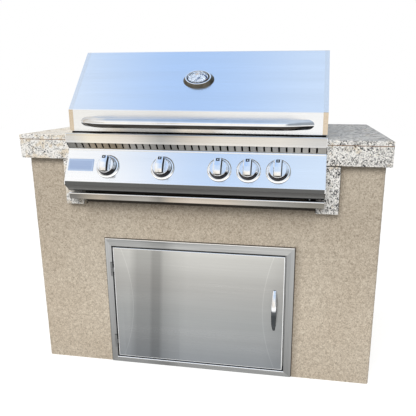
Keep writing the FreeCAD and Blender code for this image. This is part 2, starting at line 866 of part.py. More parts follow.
def burners():
    """Four tube burners, each with a tab that meets the back wall, and the plates over them."""
    axis_z = counter_height - burner_axis_drop
    front = box_front - burner_mouth
    back = box_back - firebox_gauge - burner_back_gap
    tubes = []
    plates = []
    plate_low = counter_height - heat_plate_drop
    inner_front = box_front + firebox_gauge
    inner_back = box_back - firebox_gauge
    for offset in burner_offsets:
        x = grill_centre + offset
        tube = rod(burner_radius, FreeCAD.Vector(x, front, axis_z), FreeCAD.Vector(x, back, axis_z))
        inside = rod(burner_radius - burner_wall, FreeCAD.Vector(x, front, axis_z),
                     FreeCAD.Vector(x, back - burner_wall, axis_z))
        half_tab = burner_tab_width / 2
        tab = box((x - half_tab, x + half_tab), (back - burner_wall, inner_back),
                  (axis_z - burner_tab_thickness / 2, axis_z + burner_tab_thickness / 2))
        tubes.append(tube.cut(inside).fuse(tab).removeSplitter())
        half = heat_plate_width / 2
        gauge = heat_plate_gauge
        outline = [
            FreeCAD.Vector(x - half, inner_front, plate_low),
            FreeCAD.Vector(x, inner_front, plate_low + heat_plate_rise),
            FreeCAD.Vector(x + half, inner_front, plate_low),
            FreeCAD.Vector(x + half, inner_front, plate_low + gauge),
            FreeCAD.Vector(x, inner_front, plate_low + heat_plate_rise + gauge),
            FreeCAD.Vector(x - half, inner_front, plate_low + gauge),
        ]
        face = Part.Face(Part.makePolygon(outline + outline[:1]))
        plates.append(face.extrude(FreeCAD.Vector(0, inner_back - inner_front, 0)))
    save("burners", *tubes)
    save("heat_plates", *plates)


def rear_burner():
    """Infrared burner on the back wall: a shallow case with a recessed face."""
    low = counter_height + rear_burner_rise
    back = box_back - firebox_gauge
    front = back - rear_burner_depth
    width = (grill_centre - rear_burner_width / 2, grill_centre + rear_burner_width / 2)
    case = box(width, (front, back), (low, low + rear_burner_height))
    recess_width = (width[0] + rear_burner_rim, width[1] - rear_burner_rim)
    recess_height = (low + rear_burner_rim, low + rear_burner_height - rear_burner_rim)
    recess = box(recess_width, (front, front + rear_burner_recess), recess_height)
    save("rear_burner", case.cut(recess))


def racks():
    """Cooking grates on the ledges and the warming rack between the side walls."""
    inner_width = firebox_width - 2 * firebox_gauge - 2 * grate_side_gap
    grate_width = (inner_width - (grate_count - 1) * grate_gap) / grate_count
    front = box_front + firebox_gauge + grate_end_gap
    back = box_back - firebox_gauge - grate_end_gap
    rod_z = ledge_top + grate_rod_radius
    first = grill_centre - inner_width / 2
    grates = []
    for i in range(grate_count):
        left = first + i * (grate_width + grate_gap) + grate_rod_radius
        pitch = (grate_width - 2 * grate_rod_radius) / (grate_rods - 1)
        bars = []
        for j in range(grate_rods):
            x = left + j * pitch
            start = FreeCAD.Vector(x, front, rod_z)
            bars.append(rod(grate_rod_radius, start, FreeCAD.Vector(x, back, rod_z)))
        right = left + pitch * (grate_rods - 1)
        cross_z = rod_z - grate_cross_drop
        span = back - front - 4 * ledge_depth
        for j in range(grate_cross_rods):
            y = front + 2 * ledge_depth + span * j / (grate_cross_rods - 1)
            start = FreeCAD.Vector(left, y, cross_z)
            bars.append(rod(grate_cross_radius, start, FreeCAD.Vector(right, y, cross_z)))
        grates.append(bars[0].fuse(bars[1:]))
    save("cooking_grates", *grates)

    rack_z = counter_height + rack_rise
    rack_back = box_back - rack_back_gap
    rack_front = rack_back - rack_depth
    left = box_left + firebox_gauge
    right = box_right - firebox_gauge
    bars = []
    for y in (rack_front, rack_back):
        start = FreeCAD.Vector(left, y, rack_z)
        bars.append(rod(rack_rod_radius, start, FreeCAD.Vector(right, y, rack_z)))
    pitch = (right - left) / (rack_cross_rods + 1)
    for i in range(rack_cross_rods):
        x = left + (i + 1) * pitch
        start = FreeCAD.Vector(x, rack_front, rack_z)
        bars.append(rod(rack_cross_radius, start, FreeCAD.Vector(x, rack_back, rack_z)))
    save("warming_rack", bars[0].fuse(bars[1:]))


def drip_tray():
    """Runners on the side walls, and the pan with its front, which slides out as one."""
    runner_bottom = cutout_bottom + runner_gauge
    runners = []
    for inner, side in ((box_left + firebox_gauge, 1), (box_right - firebox_gauge, -1)):
        leg = sorted((inner, inner + side * runner_gauge))
        foot = sorted((inner, inner + side * runner_leg))
        length = (box_front + firebox_gauge, box_back - firebox_gauge)
        upright = box(leg, length, (runner_bottom, runner_bottom + runner_height))
        flat = box(foot, length, (runner_bottom, runner_bottom + runner_gauge))
        runners.append(upright.fuse(flat).removeSplitter())
    save("tray_runners", *runners)

    pan_bottom = runner_bottom + runner_gauge + slide_gap
    front = (granite_front - tray_front_reach, granite_front - tray_front_reach + tray_front_thickness)
    width = (grill_centre - pan_half_width, grill_centre + pan_half_width)
    length = (front[1], box_back - pan_back_gap)
    pan = box(width, length, (pan_bottom, pan_bottom + pan_height))
    inside_width = (width[0] + pan_gauge, width[1] - pan_gauge)
    inside_length = (length[0] + pan_gauge, length[1] - pan_gauge)
    inside = box(inside_width, inside_length, (pan_bottom + pan_gauge, pan_bottom + pan_height))
    save("drip_pan", pan.cut(inside))

    top = valance_foot[1] - tray_front_gap
    bottom = top - tray_front_height
    outline = [(front[1], bottom), (front[0], bottom), (front[0], top), (front[1], top)]
    save("tray_front", prism(outline, [tray_bend, tray_bend], (grill_left, grill_right)))


def hood():
    """Outer skin, inner liner, cast ends and hinge pins of the hood."""
    face = [
        (band_front, band_bottom),
        (band_front, band_top),
        slope_top,
        (hood_back, slope_top[1]),
        (hood_back, slope_top[1] - hood_back_drop),
    ]
    bends = [hood_bend, hood_bend, hood_bend]
    skin_width = (grill_left + end_width, grill_right - end_width)
    hem = liner_gap + hood_sheet
    skin_path = [(band_front + hem, band_bottom)] + face + [(hood_back - hem, face[-1][1])]
    skin = folded_sheet(skin_path[::-1], [hem_bend] + bends + [hem_bend], hood_sheet, skin_width)
    probe_hole = rod(probe_hole_radius, slope_point(-2 * hem), slope_point(hem))
    bolt_z = band_bottom + handle_rise
    for side in (-1, 1):
        x = grill_centre + side * handle_half_span
        skin = skin.cut(rod(handle_bolt_radius, FreeCAD.Vector(x, band_front - 1, bolt_z),
                            FreeCAD.Vector(x, band_front + liner_gap, bolt_z)))
    save("hood_skin", skin.cut(probe_hole))

    liner_path = offset_points(face[::-1], hood_sheet + liner_gap)
    liner_path[0] = (liner_path[0][0], face[-1][1] + hood_sheet)
    liner_path[-1] = (liner_path[-1][0], band_bottom + hood_sheet)
    liner = folded_sheet(liner_path, bends, liner_sheet, skin_width)
    save("hood_liner", liner.cut(probe_hole))

    outline = face + [
        (hood_back, slope_top[1] - end_back_drop),
        (hood_back - end_foot_setback, band_bottom),
    ]
    outer_radii = bends + [0, 0]
    closed = offset_points([outline[-1]] + outline + [outline[0]], -end_rim)[1:-1]
    inner_radii = [0, max(hood_bend - end_rim, 0), max(hood_bend - end_rim, 0), 0, 0]
    ends = []
    pins = []
    for side in (-1, 1):
        outer = grill_centre + side * grill_width / 2
        inner = outer - side * end_width
        web = outer - side * end_web
        cap = prism(outline, outer_radii, sorted((outer, inner)))
        cap = cap.cut(prism(closed, inner_radii, sorted((web, inner))))
        axis = [FreeCAD.Vector(x, hinge_y, hinge_z) for x in (inner, outer)]
        cap = cap.fuse(rod(boss_radius, *axis)).removeSplitter()
        ends.append(cap.cut(rod(pin_radius, *axis)))
        wall = grill_centre + side * firebox_width / 2
        stations = {
            "tip": wall - side * 2 * firebox_gauge,
            "shoulder": wall + side * pin_side_gap,
            "cap": inner,
            "face": outer,
            "head": outer + side * pin_head_height,
        }
        at = {name: FreeCAD.Vector(x, hinge_y, hinge_z) for name, x in stations.items()}
        pin = rod(pin_radius, at["tip"], at["face"])
        pin = pin.fuse(rod(pin_shoulder_radius, at["shoulder"], at["cap"]))
        pins.append(pin.fuse(rod(pin_head_radius, at["face"], at["head"])).removeSplitter())
    save("hood_ends", *ends)
    save("hood_hinge_pins", *pins)


def hood_handle():
    """Bent tube whose two ends are cut to the hood's band, with a bolt in each."""
    z = band_bottom + handle_rise
    front = band_front - handle_reach
    bend = handle_half_span - handle_bend_run
    run = handle_bend_run * handle_overrun
    drop = handle_reach * handle_overrun
    points = [
        (-bend - run, front + drop),
        (-bend, front),
        (bend, front),
        (bend + run, front + drop),
    ]
    corners = [FreeCAD.Vector(grill_centre + x, y, z) for x, y in points]
    edges = []
    start = corners[0]
    for i in (1, 2):
        back = (corners[i - 1] - corners[i]).normalize()
        ahead = (corners[i + 1] - corners[i]).normalize()
        half = back.getAngle(ahead) / 2
        reach = handle_bend_radius / math.tan(half)
        depth = handle_bend_radius / math.sin(half) - handle_bend_radius
        middle = corners[i] + (back + ahead).normalize() * depth
        edges.append(line(start, corners[i] + back * reach))
        edges.append(Part.Arc(corners[i] + back * reach, middle, corners[i] + ahead * reach).toShape())
        start = corners[i] + ahead * reach
    edges.append(line(start, corners[-1]))
    path = Part.Wire(edges)
    away = (corners[1] - corners[0]).normalize()
    tubes = []
    for radius in (handle_radius, handle_radius - handle_wall):
        ring = Part.Wire(Part.makeCircle(radius, corners[0], away))
        tubes.append(path.makePipeShell([ring], True, True))
    span = 2 * (bend + run)
    across = (grill_centre - span, grill_centre + span)
    height = (z - 3 * handle_radius, z + 3 * handle_radius)
    plugged = box(across, (band_front - handle_bolt_length, band_front + 2 * drop), height)
    behind = box(across, (band_front, band_front + 2 * drop), height)
    tube = tubes[0].cut(tubes[1].cut(plugged)).cut(behind)
    bolts = []
    for side in (-1, 1):
        tip = FreeCAD.Vector(grill_centre + side * handle_half_span, band_front - handle_bolt_length + 1, z)
        seat = FreeCAD.Vector(tip.x, band_front + hood_sheet, z)
        back = FreeCAD.Vector(tip.x, seat.y + handle_bolt_radius, z)
        shank = rod(handle_bolt_radius, tip, seat)
        tube = tube.cut(shank)
        bolts.append(shank.fuse(rod(2 * handle_bolt_radius, seat, back)).removeSplitter())
    save("hood_handle", tube)
    save("handle_bolts", *bolts)


def gauge_plug(radii, low, high):
    """Oval plug on the slope, lower than wide: half widths at its foot and head, and their heights."""
    rings = []
    for radius, out in zip(radii, (low, high)):
        oval = Part.Ellipse(FreeCAD.Vector(), radius, radius * gauge_aspect).toShape()
        oval.Placement = FreeCAD.Placement(slope_point(out), slope_turn)
        rings.append(Part.Wire(oval))
    return Part.makeLoft(rings, True, True)


def thermometer():
    """Oval case with its probe, dial, needle and glass on the middle of the slope."""
    case = gauge_plug((gauge_flange_radius, gauge_flange_radius), 0, gauge_flange_height)
    case = case.fuse(gauge_plug((gauge_foot_radius, gauge_rim_radius), 0, gauge_cup_height))
    case = case.fuse(rod(probe_radius, slope_point(-probe_length), slope_point(1))).removeSplitter()
    case = case.cut(gauge_plug((gauge_face_radius, gauge_face_radius), gauge_floor, gauge_cup_height))
    shaft_start = gauge_floor - needle_shaft_depth
    case = case.cut(rod(needle_shaft + shaft_clearance, slope_point(shaft_start), slope_point(gauge_floor)))
    save("thermometer_case", case)

    dial_top = gauge_floor + dial_thickness
    dial = gauge_plug((gauge_face_radius, gauge_face_radius), gauge_floor, dial_top)
    dial = dial.cut(rod(needle_shaft + shaft_clearance, slope_point(gauge_floor), slope_point(dial_top)))
    save("thermometer_dial", dial)

    needle_base = dial_top + needle_lift
    needle_top = needle_base + needle_thickness
    pointer_outline = [
        FreeCAD.Vector(-needle_width / 2, -needle_tail, 0),
        FreeCAD.Vector(needle_width / 2, -needle_tail, 0),
        FreeCAD.Vector(needle_tip / 2, needle_length, 0),
        FreeCAD.Vector(-needle_tip / 2, needle_length, 0),
    ]
    pointer = Part.Face(Part.makePolygon(pointer_outline + pointer_outline[:1]))
    pointer = pointer.extrude(FreeCAD.Vector(0, 0, needle_thickness))
    rest_turn = FreeCAD.Rotation(FreeCAD.Vector(0, 0, 1), needle_rest_angle)
    pointer.Placement = FreeCAD.Placement(slope_point(needle_base), slope_turn.multiply(rest_turn))
    hub = rod(needle_hub, slope_point(needle_base), slope_point(needle_top + needle_thickness))
    shaft = rod(needle_shaft, slope_point(shaft_start + needle_shaft_gap), slope_point(needle_top))
    save("thermometer_needle", pointer.fuse([hub, shaft]).removeSplitter())

    glass_top = gauge_cup_height - glass_depth
    glass = gauge_plug((gauge_face_radius, gauge_face_radius), glass_top - glass_thickness, glass_top)
    save("thermometer_glass", glass)


def door_ring(outer, inner, y):
    """Rectangular ring between two (x0, x1, z0, z1) outlines."""
    solid = box(outer[:2], y, outer[2:])
    return solid.cut(box(inner[:2], y, inner[2:]))


def grown(outline, by):
    """Outline made larger on each side."""
    return (outline[0] - by, outline[1] + by, outline[2] - by, outline[3] + by)


def storage_door():
    """Frame in the base, double-walled leaf, hinges and catch."""
    doorway = (doorway_left, doorway_right, doorway_bottom, doorway_top)
    frame_width = (doorway_left - door_border_left, doorway_right + door_border_right)
    outer = frame_width + (0, doorway_top + door_border_top)
    return_back = door_face + door_return
    frame = door_ring(outer, doorway, (door_face, front_wall))
    frame = frame.fuse(door_ring(grown(doorway, door_gauge), doorway, (door_face, return_back)))
    stop_front = door_face + door_thickness + stop_gap
    stop = door_ring(doorway, grown(doorway, -stop_width), (stop_front, stop_front + door_gauge))
    frame = frame.fuse(stop).removeSplitter()
    axis_x = doorway_left - door_hinge_inset
    notch_left = axis_x - knuckle_radius - knuckle_room
    notch_back = door_face + knuckle_radius + knuckle_room
    hinge_bottoms = (door_bottom + door_hinge_rise, door_top - door_hinge_drop - door_hinge_height)
    for low in hinge_bottoms:
        high = low + door_hinge_height + knuckle_gap + hinge_pin_head
        notch_height = (low, high + knuckle_room)
        frame = frame.cut(box((notch_left, doorway_left), (door_face, notch_back), notch_height))
    save("door_frame", frame)

    leaf_outline = (door_left, door_right, door_bottom, door_top)
    leaf = box(leaf_outline[:2], (door_face, door_face + door_thickness - door_gauge), leaf_outline[2:])
    hollow = grown(leaf_outline, -door_gauge)
    depth = (door_face + door_gauge, door_face + door_thickness - door_gauge)
    save("door_leaf", leaf.cut(box(hollow[:2], depth, hollow[2:])))

    back = (depth[1], door_face + door_thickness)
    liner = box(leaf_outline[:2], back, leaf_outline[2:])
    stiffener = grown(leaf_outline, -liner_border)
    raised = box(stiffener[:2], (back[0] - liner_height, back[0]), stiffener[2:])
    hollow = grown(stiffener, -door_gauge)
    raised = raised.cut(box(hollow[:2], (back[0] - liner_height + door_gauge, back[0]), hollow[2:]))
    cut_back = box(hollow[:2], back, hollow[2:])
    save("door_liner", liner.cut(cut_back).fuse(raised).removeSplitter())

    third = door_hinge_height / 3
    fixed = []
    moving = []
    strap_depth = (door_face, door_face + hinge_strap_thickness)

    def on_axis(z):
        return FreeCAD.Vector(axis_x, door_face, z)

    for low in hinge_bottoms:
        for start in (low, low + 2 * third + knuckle_gap):
            end = start + third - knuckle_gap
            knuckle = rod(knuckle_radius, on_axis(start), on_axis(end))
            knuckle = knuckle.fuse(box((notch_left, axis_x), strap_depth, (start, end))).removeSplitter()
            fixed.append(knuckle.cut(rod(hinge_pin_radius + shaft_clearance, on_axis(start), on_axis(end))))
        start = low + third
        end = start + third
        pin_top = low + door_hinge_height + knuckle_gap
        knuckle = rod(knuckle_radius, on_axis(start), on_axis(end))
        strap = box((axis_x, door_left), strap_depth, (start, end))
        pin = rod(hinge_pin_radius, on_axis(low), on_axis(pin_top))
        head = rod(knuckle_radius, on_axis(pin_top), on_axis(pin_top + hinge_pin_head))
        moving.append(knuckle.fuse([strap, pin, head]).removeSplitter())
    save("hinge_knuckles", *fixed)
    save("hinge_pins", *moving)

    catch_x = door_right - 2 * catch_width
    catch_y = stop_front + door_gauge
    save("door_catch", box((catch_x, catch_x + catch_width), (catch_y, catch_y + catch_depth),
                           (doorway_top - catch_height, doorway_top)))


def door_pull():
    """Bowed handle, widest just below its middle, cut from an arched strip."""
    middle_z = (pull_bottom + pull_top) / 2
    start = FreeCAD.Vector(0, door_face, pull_bottom)
    crown = FreeCAD.Vector(0, door_face - pull_reach, middle_z)
    end = FreeCAD.Vector(0, door_face, pull_top)
    inner_start = FreeCAD.Vector(0, door_face, pull_bottom + pull_foot)
    inner_crown = FreeCAD.Vector(0, door_face - pull_reach + pull_thickness, middle_z)
    inner_end = FreeCAD.Vector(0, door_face, pull_top - pull_foot)
    edges = [
        Part.Arc(start, crown, end).toShape(),
        line(end, inner_end),
        Part.Arc(inner_end, inner_crown, inner_start).toShape(),
        line(inner_start, start),
    ]
    strip = Part.Face(Part.Wire(edges))
    strip.translate(FreeCAD.Vector(pull_x - pull_width_mid, 0, 0))
    strip = strip.extrude(FreeCAD.Vector(2 * pull_width_mid, 0, 0))
    y = door_face - 2 * pull_reach
    low_half = pull_width_bottom / 2
    mid_half = pull_width_mid / 2
    top_half = pull_width_top / 2
    widest = pull_bottom + pull_widest_share * (pull_top - pull_bottom)
    sides = []
    for side in (-1, 1):
        low = FreeCAD.Vector(pull_x + side * low_half, y, pull_bottom)
        wide = FreeCAD.Vector(pull_x + side * mid_half, y, widest)
        high = FreeCAD.Vector(pull_x + side * top_half, y, pull_top)
        sides.append((low, wide, high))
    outline = Part.Wire([
        Part.Arc(*sides[0]).toShape(),
        line(sides[0][2], sides[1][2]),
        Part.Arc(sides[1][2], sides[1][1], sides[1][0]).toShape(),
        line(sides[1][0], sides[0][0]),
    ])
    blank = Part.Face(outline).extrude(FreeCAD.Vector(0, 3 * pull_reach, 0))
    save("door_handle", strip.common(blank))


base()
rear_vent()
granite()
firebox()
grill_front()
name_plate()
knobs()
gas_pipe()
burners()
rear_burner()
racks()
drip_tray()
hood()
hood_handle()
thermometer()
storage_door()
door_pull()
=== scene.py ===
# %% [markdown]
# # An outdoor kitchen island
# The object is a stuccoed base with a granite counter, a gas grill let into it and a steel door under the grill.
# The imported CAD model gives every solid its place. This file adds what the solids leave out: rolled and eased
# edges, the texture of the float finish, turned knobs and the print on the dial, and a finish for every part.

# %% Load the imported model
import math

import bmesh
import bpy
import numpy as np
from mathutils import Matrix


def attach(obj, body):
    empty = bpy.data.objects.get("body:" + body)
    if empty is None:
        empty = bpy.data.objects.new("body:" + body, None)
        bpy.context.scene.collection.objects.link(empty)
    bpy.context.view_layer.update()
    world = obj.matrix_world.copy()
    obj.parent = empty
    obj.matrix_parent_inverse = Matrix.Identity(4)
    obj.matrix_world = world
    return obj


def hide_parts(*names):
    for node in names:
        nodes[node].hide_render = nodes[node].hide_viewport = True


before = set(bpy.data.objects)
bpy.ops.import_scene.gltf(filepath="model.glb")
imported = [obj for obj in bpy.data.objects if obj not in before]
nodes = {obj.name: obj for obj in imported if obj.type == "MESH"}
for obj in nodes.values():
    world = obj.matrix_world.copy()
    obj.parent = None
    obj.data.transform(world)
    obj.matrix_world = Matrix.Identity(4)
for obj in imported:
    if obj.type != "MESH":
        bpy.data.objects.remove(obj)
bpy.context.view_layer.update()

# %% [markdown]
# ## Small tools
# Shapes are worked out in millimetres, as a builder would, and turned to metres when they become a mesh.
# A shape is a grid of points: rows along one parameter, columns along the other. Neighbours join into quads.
# Whole arrays are computed at once, which is quicker than adding vertices one by one and shorter to read.

# %% Grids of points
MM = 0.001
X_AXIS = np.array([1.0, 0.0, 0.0])
# Places on the front that several cells use: the grill's opening, the strips of stone beside it, the slab's foot.
GRILL_X, JAMB_X, JAMB_Z, APRON_TOP = (-395.5, 386.5), (-458.5, 456.5), (611.0, 764.0), 829.0


def patch(points, number=0, round_rows=False, round_columns=False):
    """Joins each point with the next row and column. A round side also joins its last to its first."""
    rows, columns = points.shape[:2]
    i = np.arange(rows if round_rows else rows - 1)[:, None]
    j = np.arange(columns if round_columns else columns - 1)[None, :]
    row, column = (i + 1) % rows, (j + 1) % columns
    corners = (i * columns + j, row * columns + j, row * columns + column, i * columns + column)
    return points.reshape(-1, 3), np.stack(np.broadcast_arrays(*corners), -1).reshape(-1, 4), number


def closed(loops, number=0):
    """A bar or a tube: closed loops of points, with the first and the last drawn together in their middle."""
    ends = [np.broadcast_to(end.mean(0), end.shape)[None] for end in (loops[0], loops[-1])]
    return patch(np.concatenate([ends[0], loops, ends[1]]), number, round_columns=True)


def along_x(section, start, end, stations=24):
    """A closed (y, z) section carried along X: every station is the same section at its own x."""
    line = np.pad(section, ((0, 0), (1, 0)))
    return closed(line[None] + np.linspace(start, end, stations)[:, None, None] * X_AXIS)


def placed(origin, out, across, upward, height):
    """Points on a sloping sheet: origin + across * X + upward * (out x X) + height * out."""
    across, upward, height = np.broadcast_arrays(across, upward, height)
    return origin + across[..., None] * X_AXIS + upward[..., None] * np.cross(out, X_AXIS) + height[..., None] * out


# %% [markdown]
# A finished piece gets its doubled points merged, which closes seams and poles, and its faces turned outwards.
# Then it rides on the body of the CAD model that carries it, and the CAD solids it stands for are hidden.

# %% From grids to a finished piece
SHARP = math.radians(35)
MERGED_WITHIN = 2e-6


def piece(name, parts, materials, body, replaced=()):
    """Joins parts (points in mm, quads, material number) into one object, closes it, sets it on its body and hides the
    solids it replaces.
    """
    starts = np.cumsum([0] + [len(points) for points, _, _ in parts])
    points = np.concatenate([points for points, _, _ in parts]) * MM
    faces = np.concatenate([quads + start for (_, quads, _), start in zip(parts, starts)])
    numbers = np.concatenate([np.full(len(quads), number) for _, quads, number in parts])
    used, faces = np.unique(faces, return_inverse=True)
    faces = faces.reshape(-1, 4)
    mesh = bpy.data.meshes.new(name)
    mesh.vertices.add(len(used))
    mesh.vertices.foreach_set("co", points[used].ravel())
    mesh.loops.add(faces.size)
    mesh.loops.foreach_set("vertex_index", faces.ravel())
    mesh.polygons.add(len(faces))
    mesh.polygons.foreach_set("loop_start", np.arange(0, faces.size, 4))
    mesh.polygons.foreach_set("material_index", numbers)
    mesh.update(calc_edges=True)
    work = bmesh.new()
    work.from_mesh(mesh)
    bmesh.ops.remove_doubles(work, verts=work.verts, dist=MERGED_WITHIN)
    bmesh.ops.recalc_face_normals(work, faces=work.faces)
    work.to_mesh(mesh)
    work.free()
    mesh.polygons.foreach_set("use_smooth", np.ones(len(mesh.polygons), bool))
    mesh.set_sharp_from_angle(angle=SHARP)
    for material in materials:
        mesh.materials.append(material)
    new = bpy.data.objects.new(name, mesh)
    bpy.context.scene.collection.objects.link(new)
    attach(new, body)
    if replaced:
        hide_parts(*replaced)
    print(f"{name}: {len(mesh.polygons)} faces on {body}")


# %% [markdown]
# Profiles are drawn with sharp corners and then eased, as a file or a press brake eases them.

# %% Eased corners and turned surfaces
def eased(corners, radii, steps=5):
    """Rounds corners: from A to B, a radius before and after corner C, the path is (1-t)^2 A + 2t(1-t) C + t^2 B."""
    corners = np.asarray(corners, float)
    radii = np.broadcast_to(np.asarray(radii, float), len(corners))[:, None]
    before = np.roll(corners, 1, 0) - corners
    after = np.roll(corners, -1, 0) - corners
    start = corners + radii * before / np.linalg.norm(before, axis=1, keepdims=True)
    end = corners + radii * after / np.linalg.norm(after, axis=1, keepdims=True)
    t = np.linspace(0, 1, steps)[None, :, None]
    path = (1 - t) ** 2 * start[:, None] + 2 * t * (1 - t) * corners[:, None] + t**2 * end[:, None]
    return path.reshape(-1, corners.shape[1])


def rectangle(half_width, half_height, radius):
    """Outline of a rectangle round zero, with its four corners eased."""
    signs = np.array([(-1, -1), (1, -1), (1, 1), (-1, 1)])
    return eased(signs * (half_width, half_height), radius)


def turned(profile, origin, out, steps=72, number=0, aspect=1.0):
    """Turns (radius, height) pairs about an axis, through radius * cos across and aspect * radius * sin upward."""
    radius, height = np.asarray(profile, float).T[..., None]
    angle = np.linspace(0, 2 * np.pi, steps, endpoint=False)
    points = placed(origin, out, radius * np.cos(angle), aspect * radius * np.sin(angle), height)
    return patch(points, number, round_columns=True)


# %% [markdown]
# ## Camera
# The view was solved from the photograph: the camera stands a little right of the middle, 1.5 m in front of the
# counter and at a chest's height, looks down by 15 degrees and slightly to the left. The picture's centre is not
# quite the lens's own centre, so the sensor is shifted by a few hundredths.

# %% Camera
IMAGE = 416
camera_place = np.array([0.35200, -1.81706, 0.99019])
yaw, pitch, roll = 0.15633, 0.25410, 0.00373
focal_pixels = 465.53
lens_centre = (233.70, 211.15)

forward = np.array([-math.sin(yaw) * math.cos(pitch), math.cos(yaw) * math.cos(pitch), -math.sin(pitch)])
level = np.array([math.cos(yaw), math.sin(yaw), 0.0])
upright = np.cross(level, forward)
right = level * math.cos(roll) + upright * math.sin(roll)
upward = upright * math.cos(roll) - level * math.sin(roll)
camera_turn = np.eye(4)
camera_turn[:3] = np.stack([right, upward, -forward, camera_place], 1)

lens = bpy.data.cameras.new("view_camera")
lens.sensor_fit = "HORIZONTAL"
lens.lens = lens.sensor_width * focal_pixels / IMAGE
lens.shift_x = (IMAGE / 2 - lens_centre[0]) / IMAGE
lens.shift_y = (lens_centre[1] - IMAGE / 2) / IMAGE
camera = bpy.data.objects.new("view_camera", lens)
camera.matrix_world = Matrix(camera_turn.tolist())
bpy.context.scene.collection.objects.link(camera)
bpy.context.scene.camera = camera
bpy.context.scene.view_settings.view_transform = "Standard"
print("lens in mm:", round(lens.lens, 2), "shift:", round(lens.shift_x, 3), round(lens.shift_y, 3))

# %% [markdown]
# ## Materials: one way to write them
# Each material is a small tree of nodes. One function adds a node with its settings and links; another turns the
# hex colours that a colour chart gives into the linear values that light is counted in.

# %% Colour and node helpers
def linear(hex_colour):
    """sRGB hex to linear: c / 12.92 below 0.04045, else ((c + 0.055) / 1.055) ^ 2.4."""
    values = np.array([int(hex_colour[i:i + 2], 16) for i in (1, 3, 5)]) / 255
    curve = np.where(values < 0.04045, values / 12.92, ((values + 0.055) / 1.055) ** 2.4)
    return (*curve.tolist(), 1.0)


def feed(tree, node, inputs):
    """Fills sockets by name, or from a list in their order. A node stands for its first live output, hex for linear."""
    live = [socket for socket in node.inputs if socket.enabled]
    for key, value in inputs.items() if isinstance(inputs, dict) else enumerate(inputs):
        socket = node.inputs[key] if isinstance(key, str) else live[key]
        if isinstance(value, bpy.types.Node):
            value = next(output for output in value.outputs if output.enabled)
        if isinstance(value, bpy.types.NodeSocket):
            tree.links.new(value, socket)
        else:
            socket.default_value = linear(value) if isinstance(value, str) else value


def add(tree, kind, inputs=(), stops=(), **settings):
    """Adds a node with its settings and feeds it. stops fills a ramp with colours, or greys given as numbers."""
    node = tree.nodes.new("ShaderNode" + kind)
    for name, value in settings.items():
        setattr(node, name, value)
    feed(tree, node, inputs)
    for number, (place, colour) in enumerate(stops):
        steps = node.color_ramp.elements
        step = steps[number] if number < len(steps) else steps.new(place)
        step.position = place
        step.color = linear(colour) if isinstance(colour, str) else (colour, colour, colour, 1.0)
    return node


def new_material(name, **sockets):
    """A material with one Principled shader, its sockets named with underscores. Gives material, tree, shader."""
    material = bpy.data.materials.new(name)
    material.use_nodes = True
    tree = material.node_tree
    shader = tree.nodes["Principled BSDF"]
    feed(tree, shader, {socket.replace("_", " "): value for socket, value in sockets.items()})
    return material, tree, shader


# %% Patterns and shades by place
def scaled(tree, *per_metre):
    """Object coordinates times so many pattern units in a metre along X, Y and Z."""
    return add(tree, "Mapping", {"Vector": add(tree, "TexCoord").outputs["Object"], "Scale": per_metre})


def along(tree, axis, start, end):
    """A share from 0 to 1 between two places in metres on an axis of the object."""
    place = add(tree, "SeparateXYZ", [add(tree, "TexCoord").outputs["Object"]])
    return add(tree, "MapRange", [place.outputs[axis], start, end])


def shade_by(material, tones):
    """Multiplies a material's base colour by one more colour output of its tree."""
    tree, shader = material.node_tree, material.node_tree.nodes["Principled BSDF"]
    before = shader.inputs["Base Color"].links[0].from_socket
    shaded = add(tree, "Mix", [1.0, tones, before], data_type="RGBA", blend_type="MULTIPLY")
    feed(tree, shader, {"Base Color": shaded})


def shade_along(material, axis, start, end, stops):
    """Shades a material by a ramp between two places in metres on an axis of the object."""
    tree = material.node_tree
    shade_by(material, add(tree, "ValToRGB", [along(tree, axis, start, end)], stops=stops))


# %% [markdown]
# ## Brushed stainless sheet
# Grill and door are 304 stainless, brushed with a belt. The belt leaves straight scratches of about 0.1 mm along
# the sheet, so a highlight smears across them. The scratches are drawn 1.5 mm wide here, the finest that this view
# can show, with wide soft bands over them where the belt's pressure changed. The smear comes from the shader's
# anisotropy, turned by the cross product of the surface's normal and the grain.

# %% Brushed steel
SCRATCH = 1 / (1.5 * MM)
STREAK = 4.0
BAND = 1 / (45 * MM)
GRAIN = {"X": (1.0, 0.0, 0.0), "Z": (0.0, 0.0, 1.0)}
ROUGHNESS_SPREAD = 0.03


def brushed_steel(name, dark, light, roughness, grain="X", anisotropy=0.6, below=None, turn_over=(-0.05, -0.35),
                  metallic=1.0):
    """Steel whose tone and roughness follow noise stretched along the grain. Where it faces down it is mixed towards
    the colour below, a painted reflection of dark ground.
    """
    material, tree, shader = new_material(name, Metallic=metallic, Anisotropic=anisotropy)
    fine = [STREAK if lengthwise else SCRATCH for lengthwise in GRAIN[grain]]
    wide = [1.0 if lengthwise else BAND for lengthwise in GRAIN[grain]]
    scratches = add(tree, "TexNoise", {"Vector": scaled(tree, *fine), "Scale": 1.0, "Detail": 2.0})
    bands = add(tree, "TexNoise", {"Vector": scaled(tree, *wide), "Scale": 1.0, "Detail": 1.0})
    share = add(tree, "MapRange", [add(tree, "Math", [scratches, bands], operation="ADD"), 0.7, 1.3])
    tint = add(tree, "ValToRGB", [share], stops=[(0.0, dark), (1.0, light)])
    rough = add(tree, "MapRange", [share, 0, 1, roughness + ROUGHNESS_SPREAD, roughness - ROUGHNESS_SPREAD])
    normal = add(tree, "NewGeometry").outputs["Normal"]
    across = add(tree, "VectorMath", [normal, GRAIN[grain]], operation="CROSS_PRODUCT")
    bump = add(tree, "Bump", {"Height": scratches, "Strength": 0.04, "Distance": 0.2 * MM})
    # Painted reflection: faces that turn down take the colour below, as dark ground would show in them.
    if below:
        turned_down = add(tree, "MapRange", [add(tree, "SeparateXYZ", [normal]).outputs["Z"], *turn_over])
        tint = add(tree, "Mix", [turned_down, tint, below], data_type="RGBA")
    feed(tree, shader, {"Base Color": tint, "Roughness": rough, "Tangent": across, "Normal": bump})
    return material
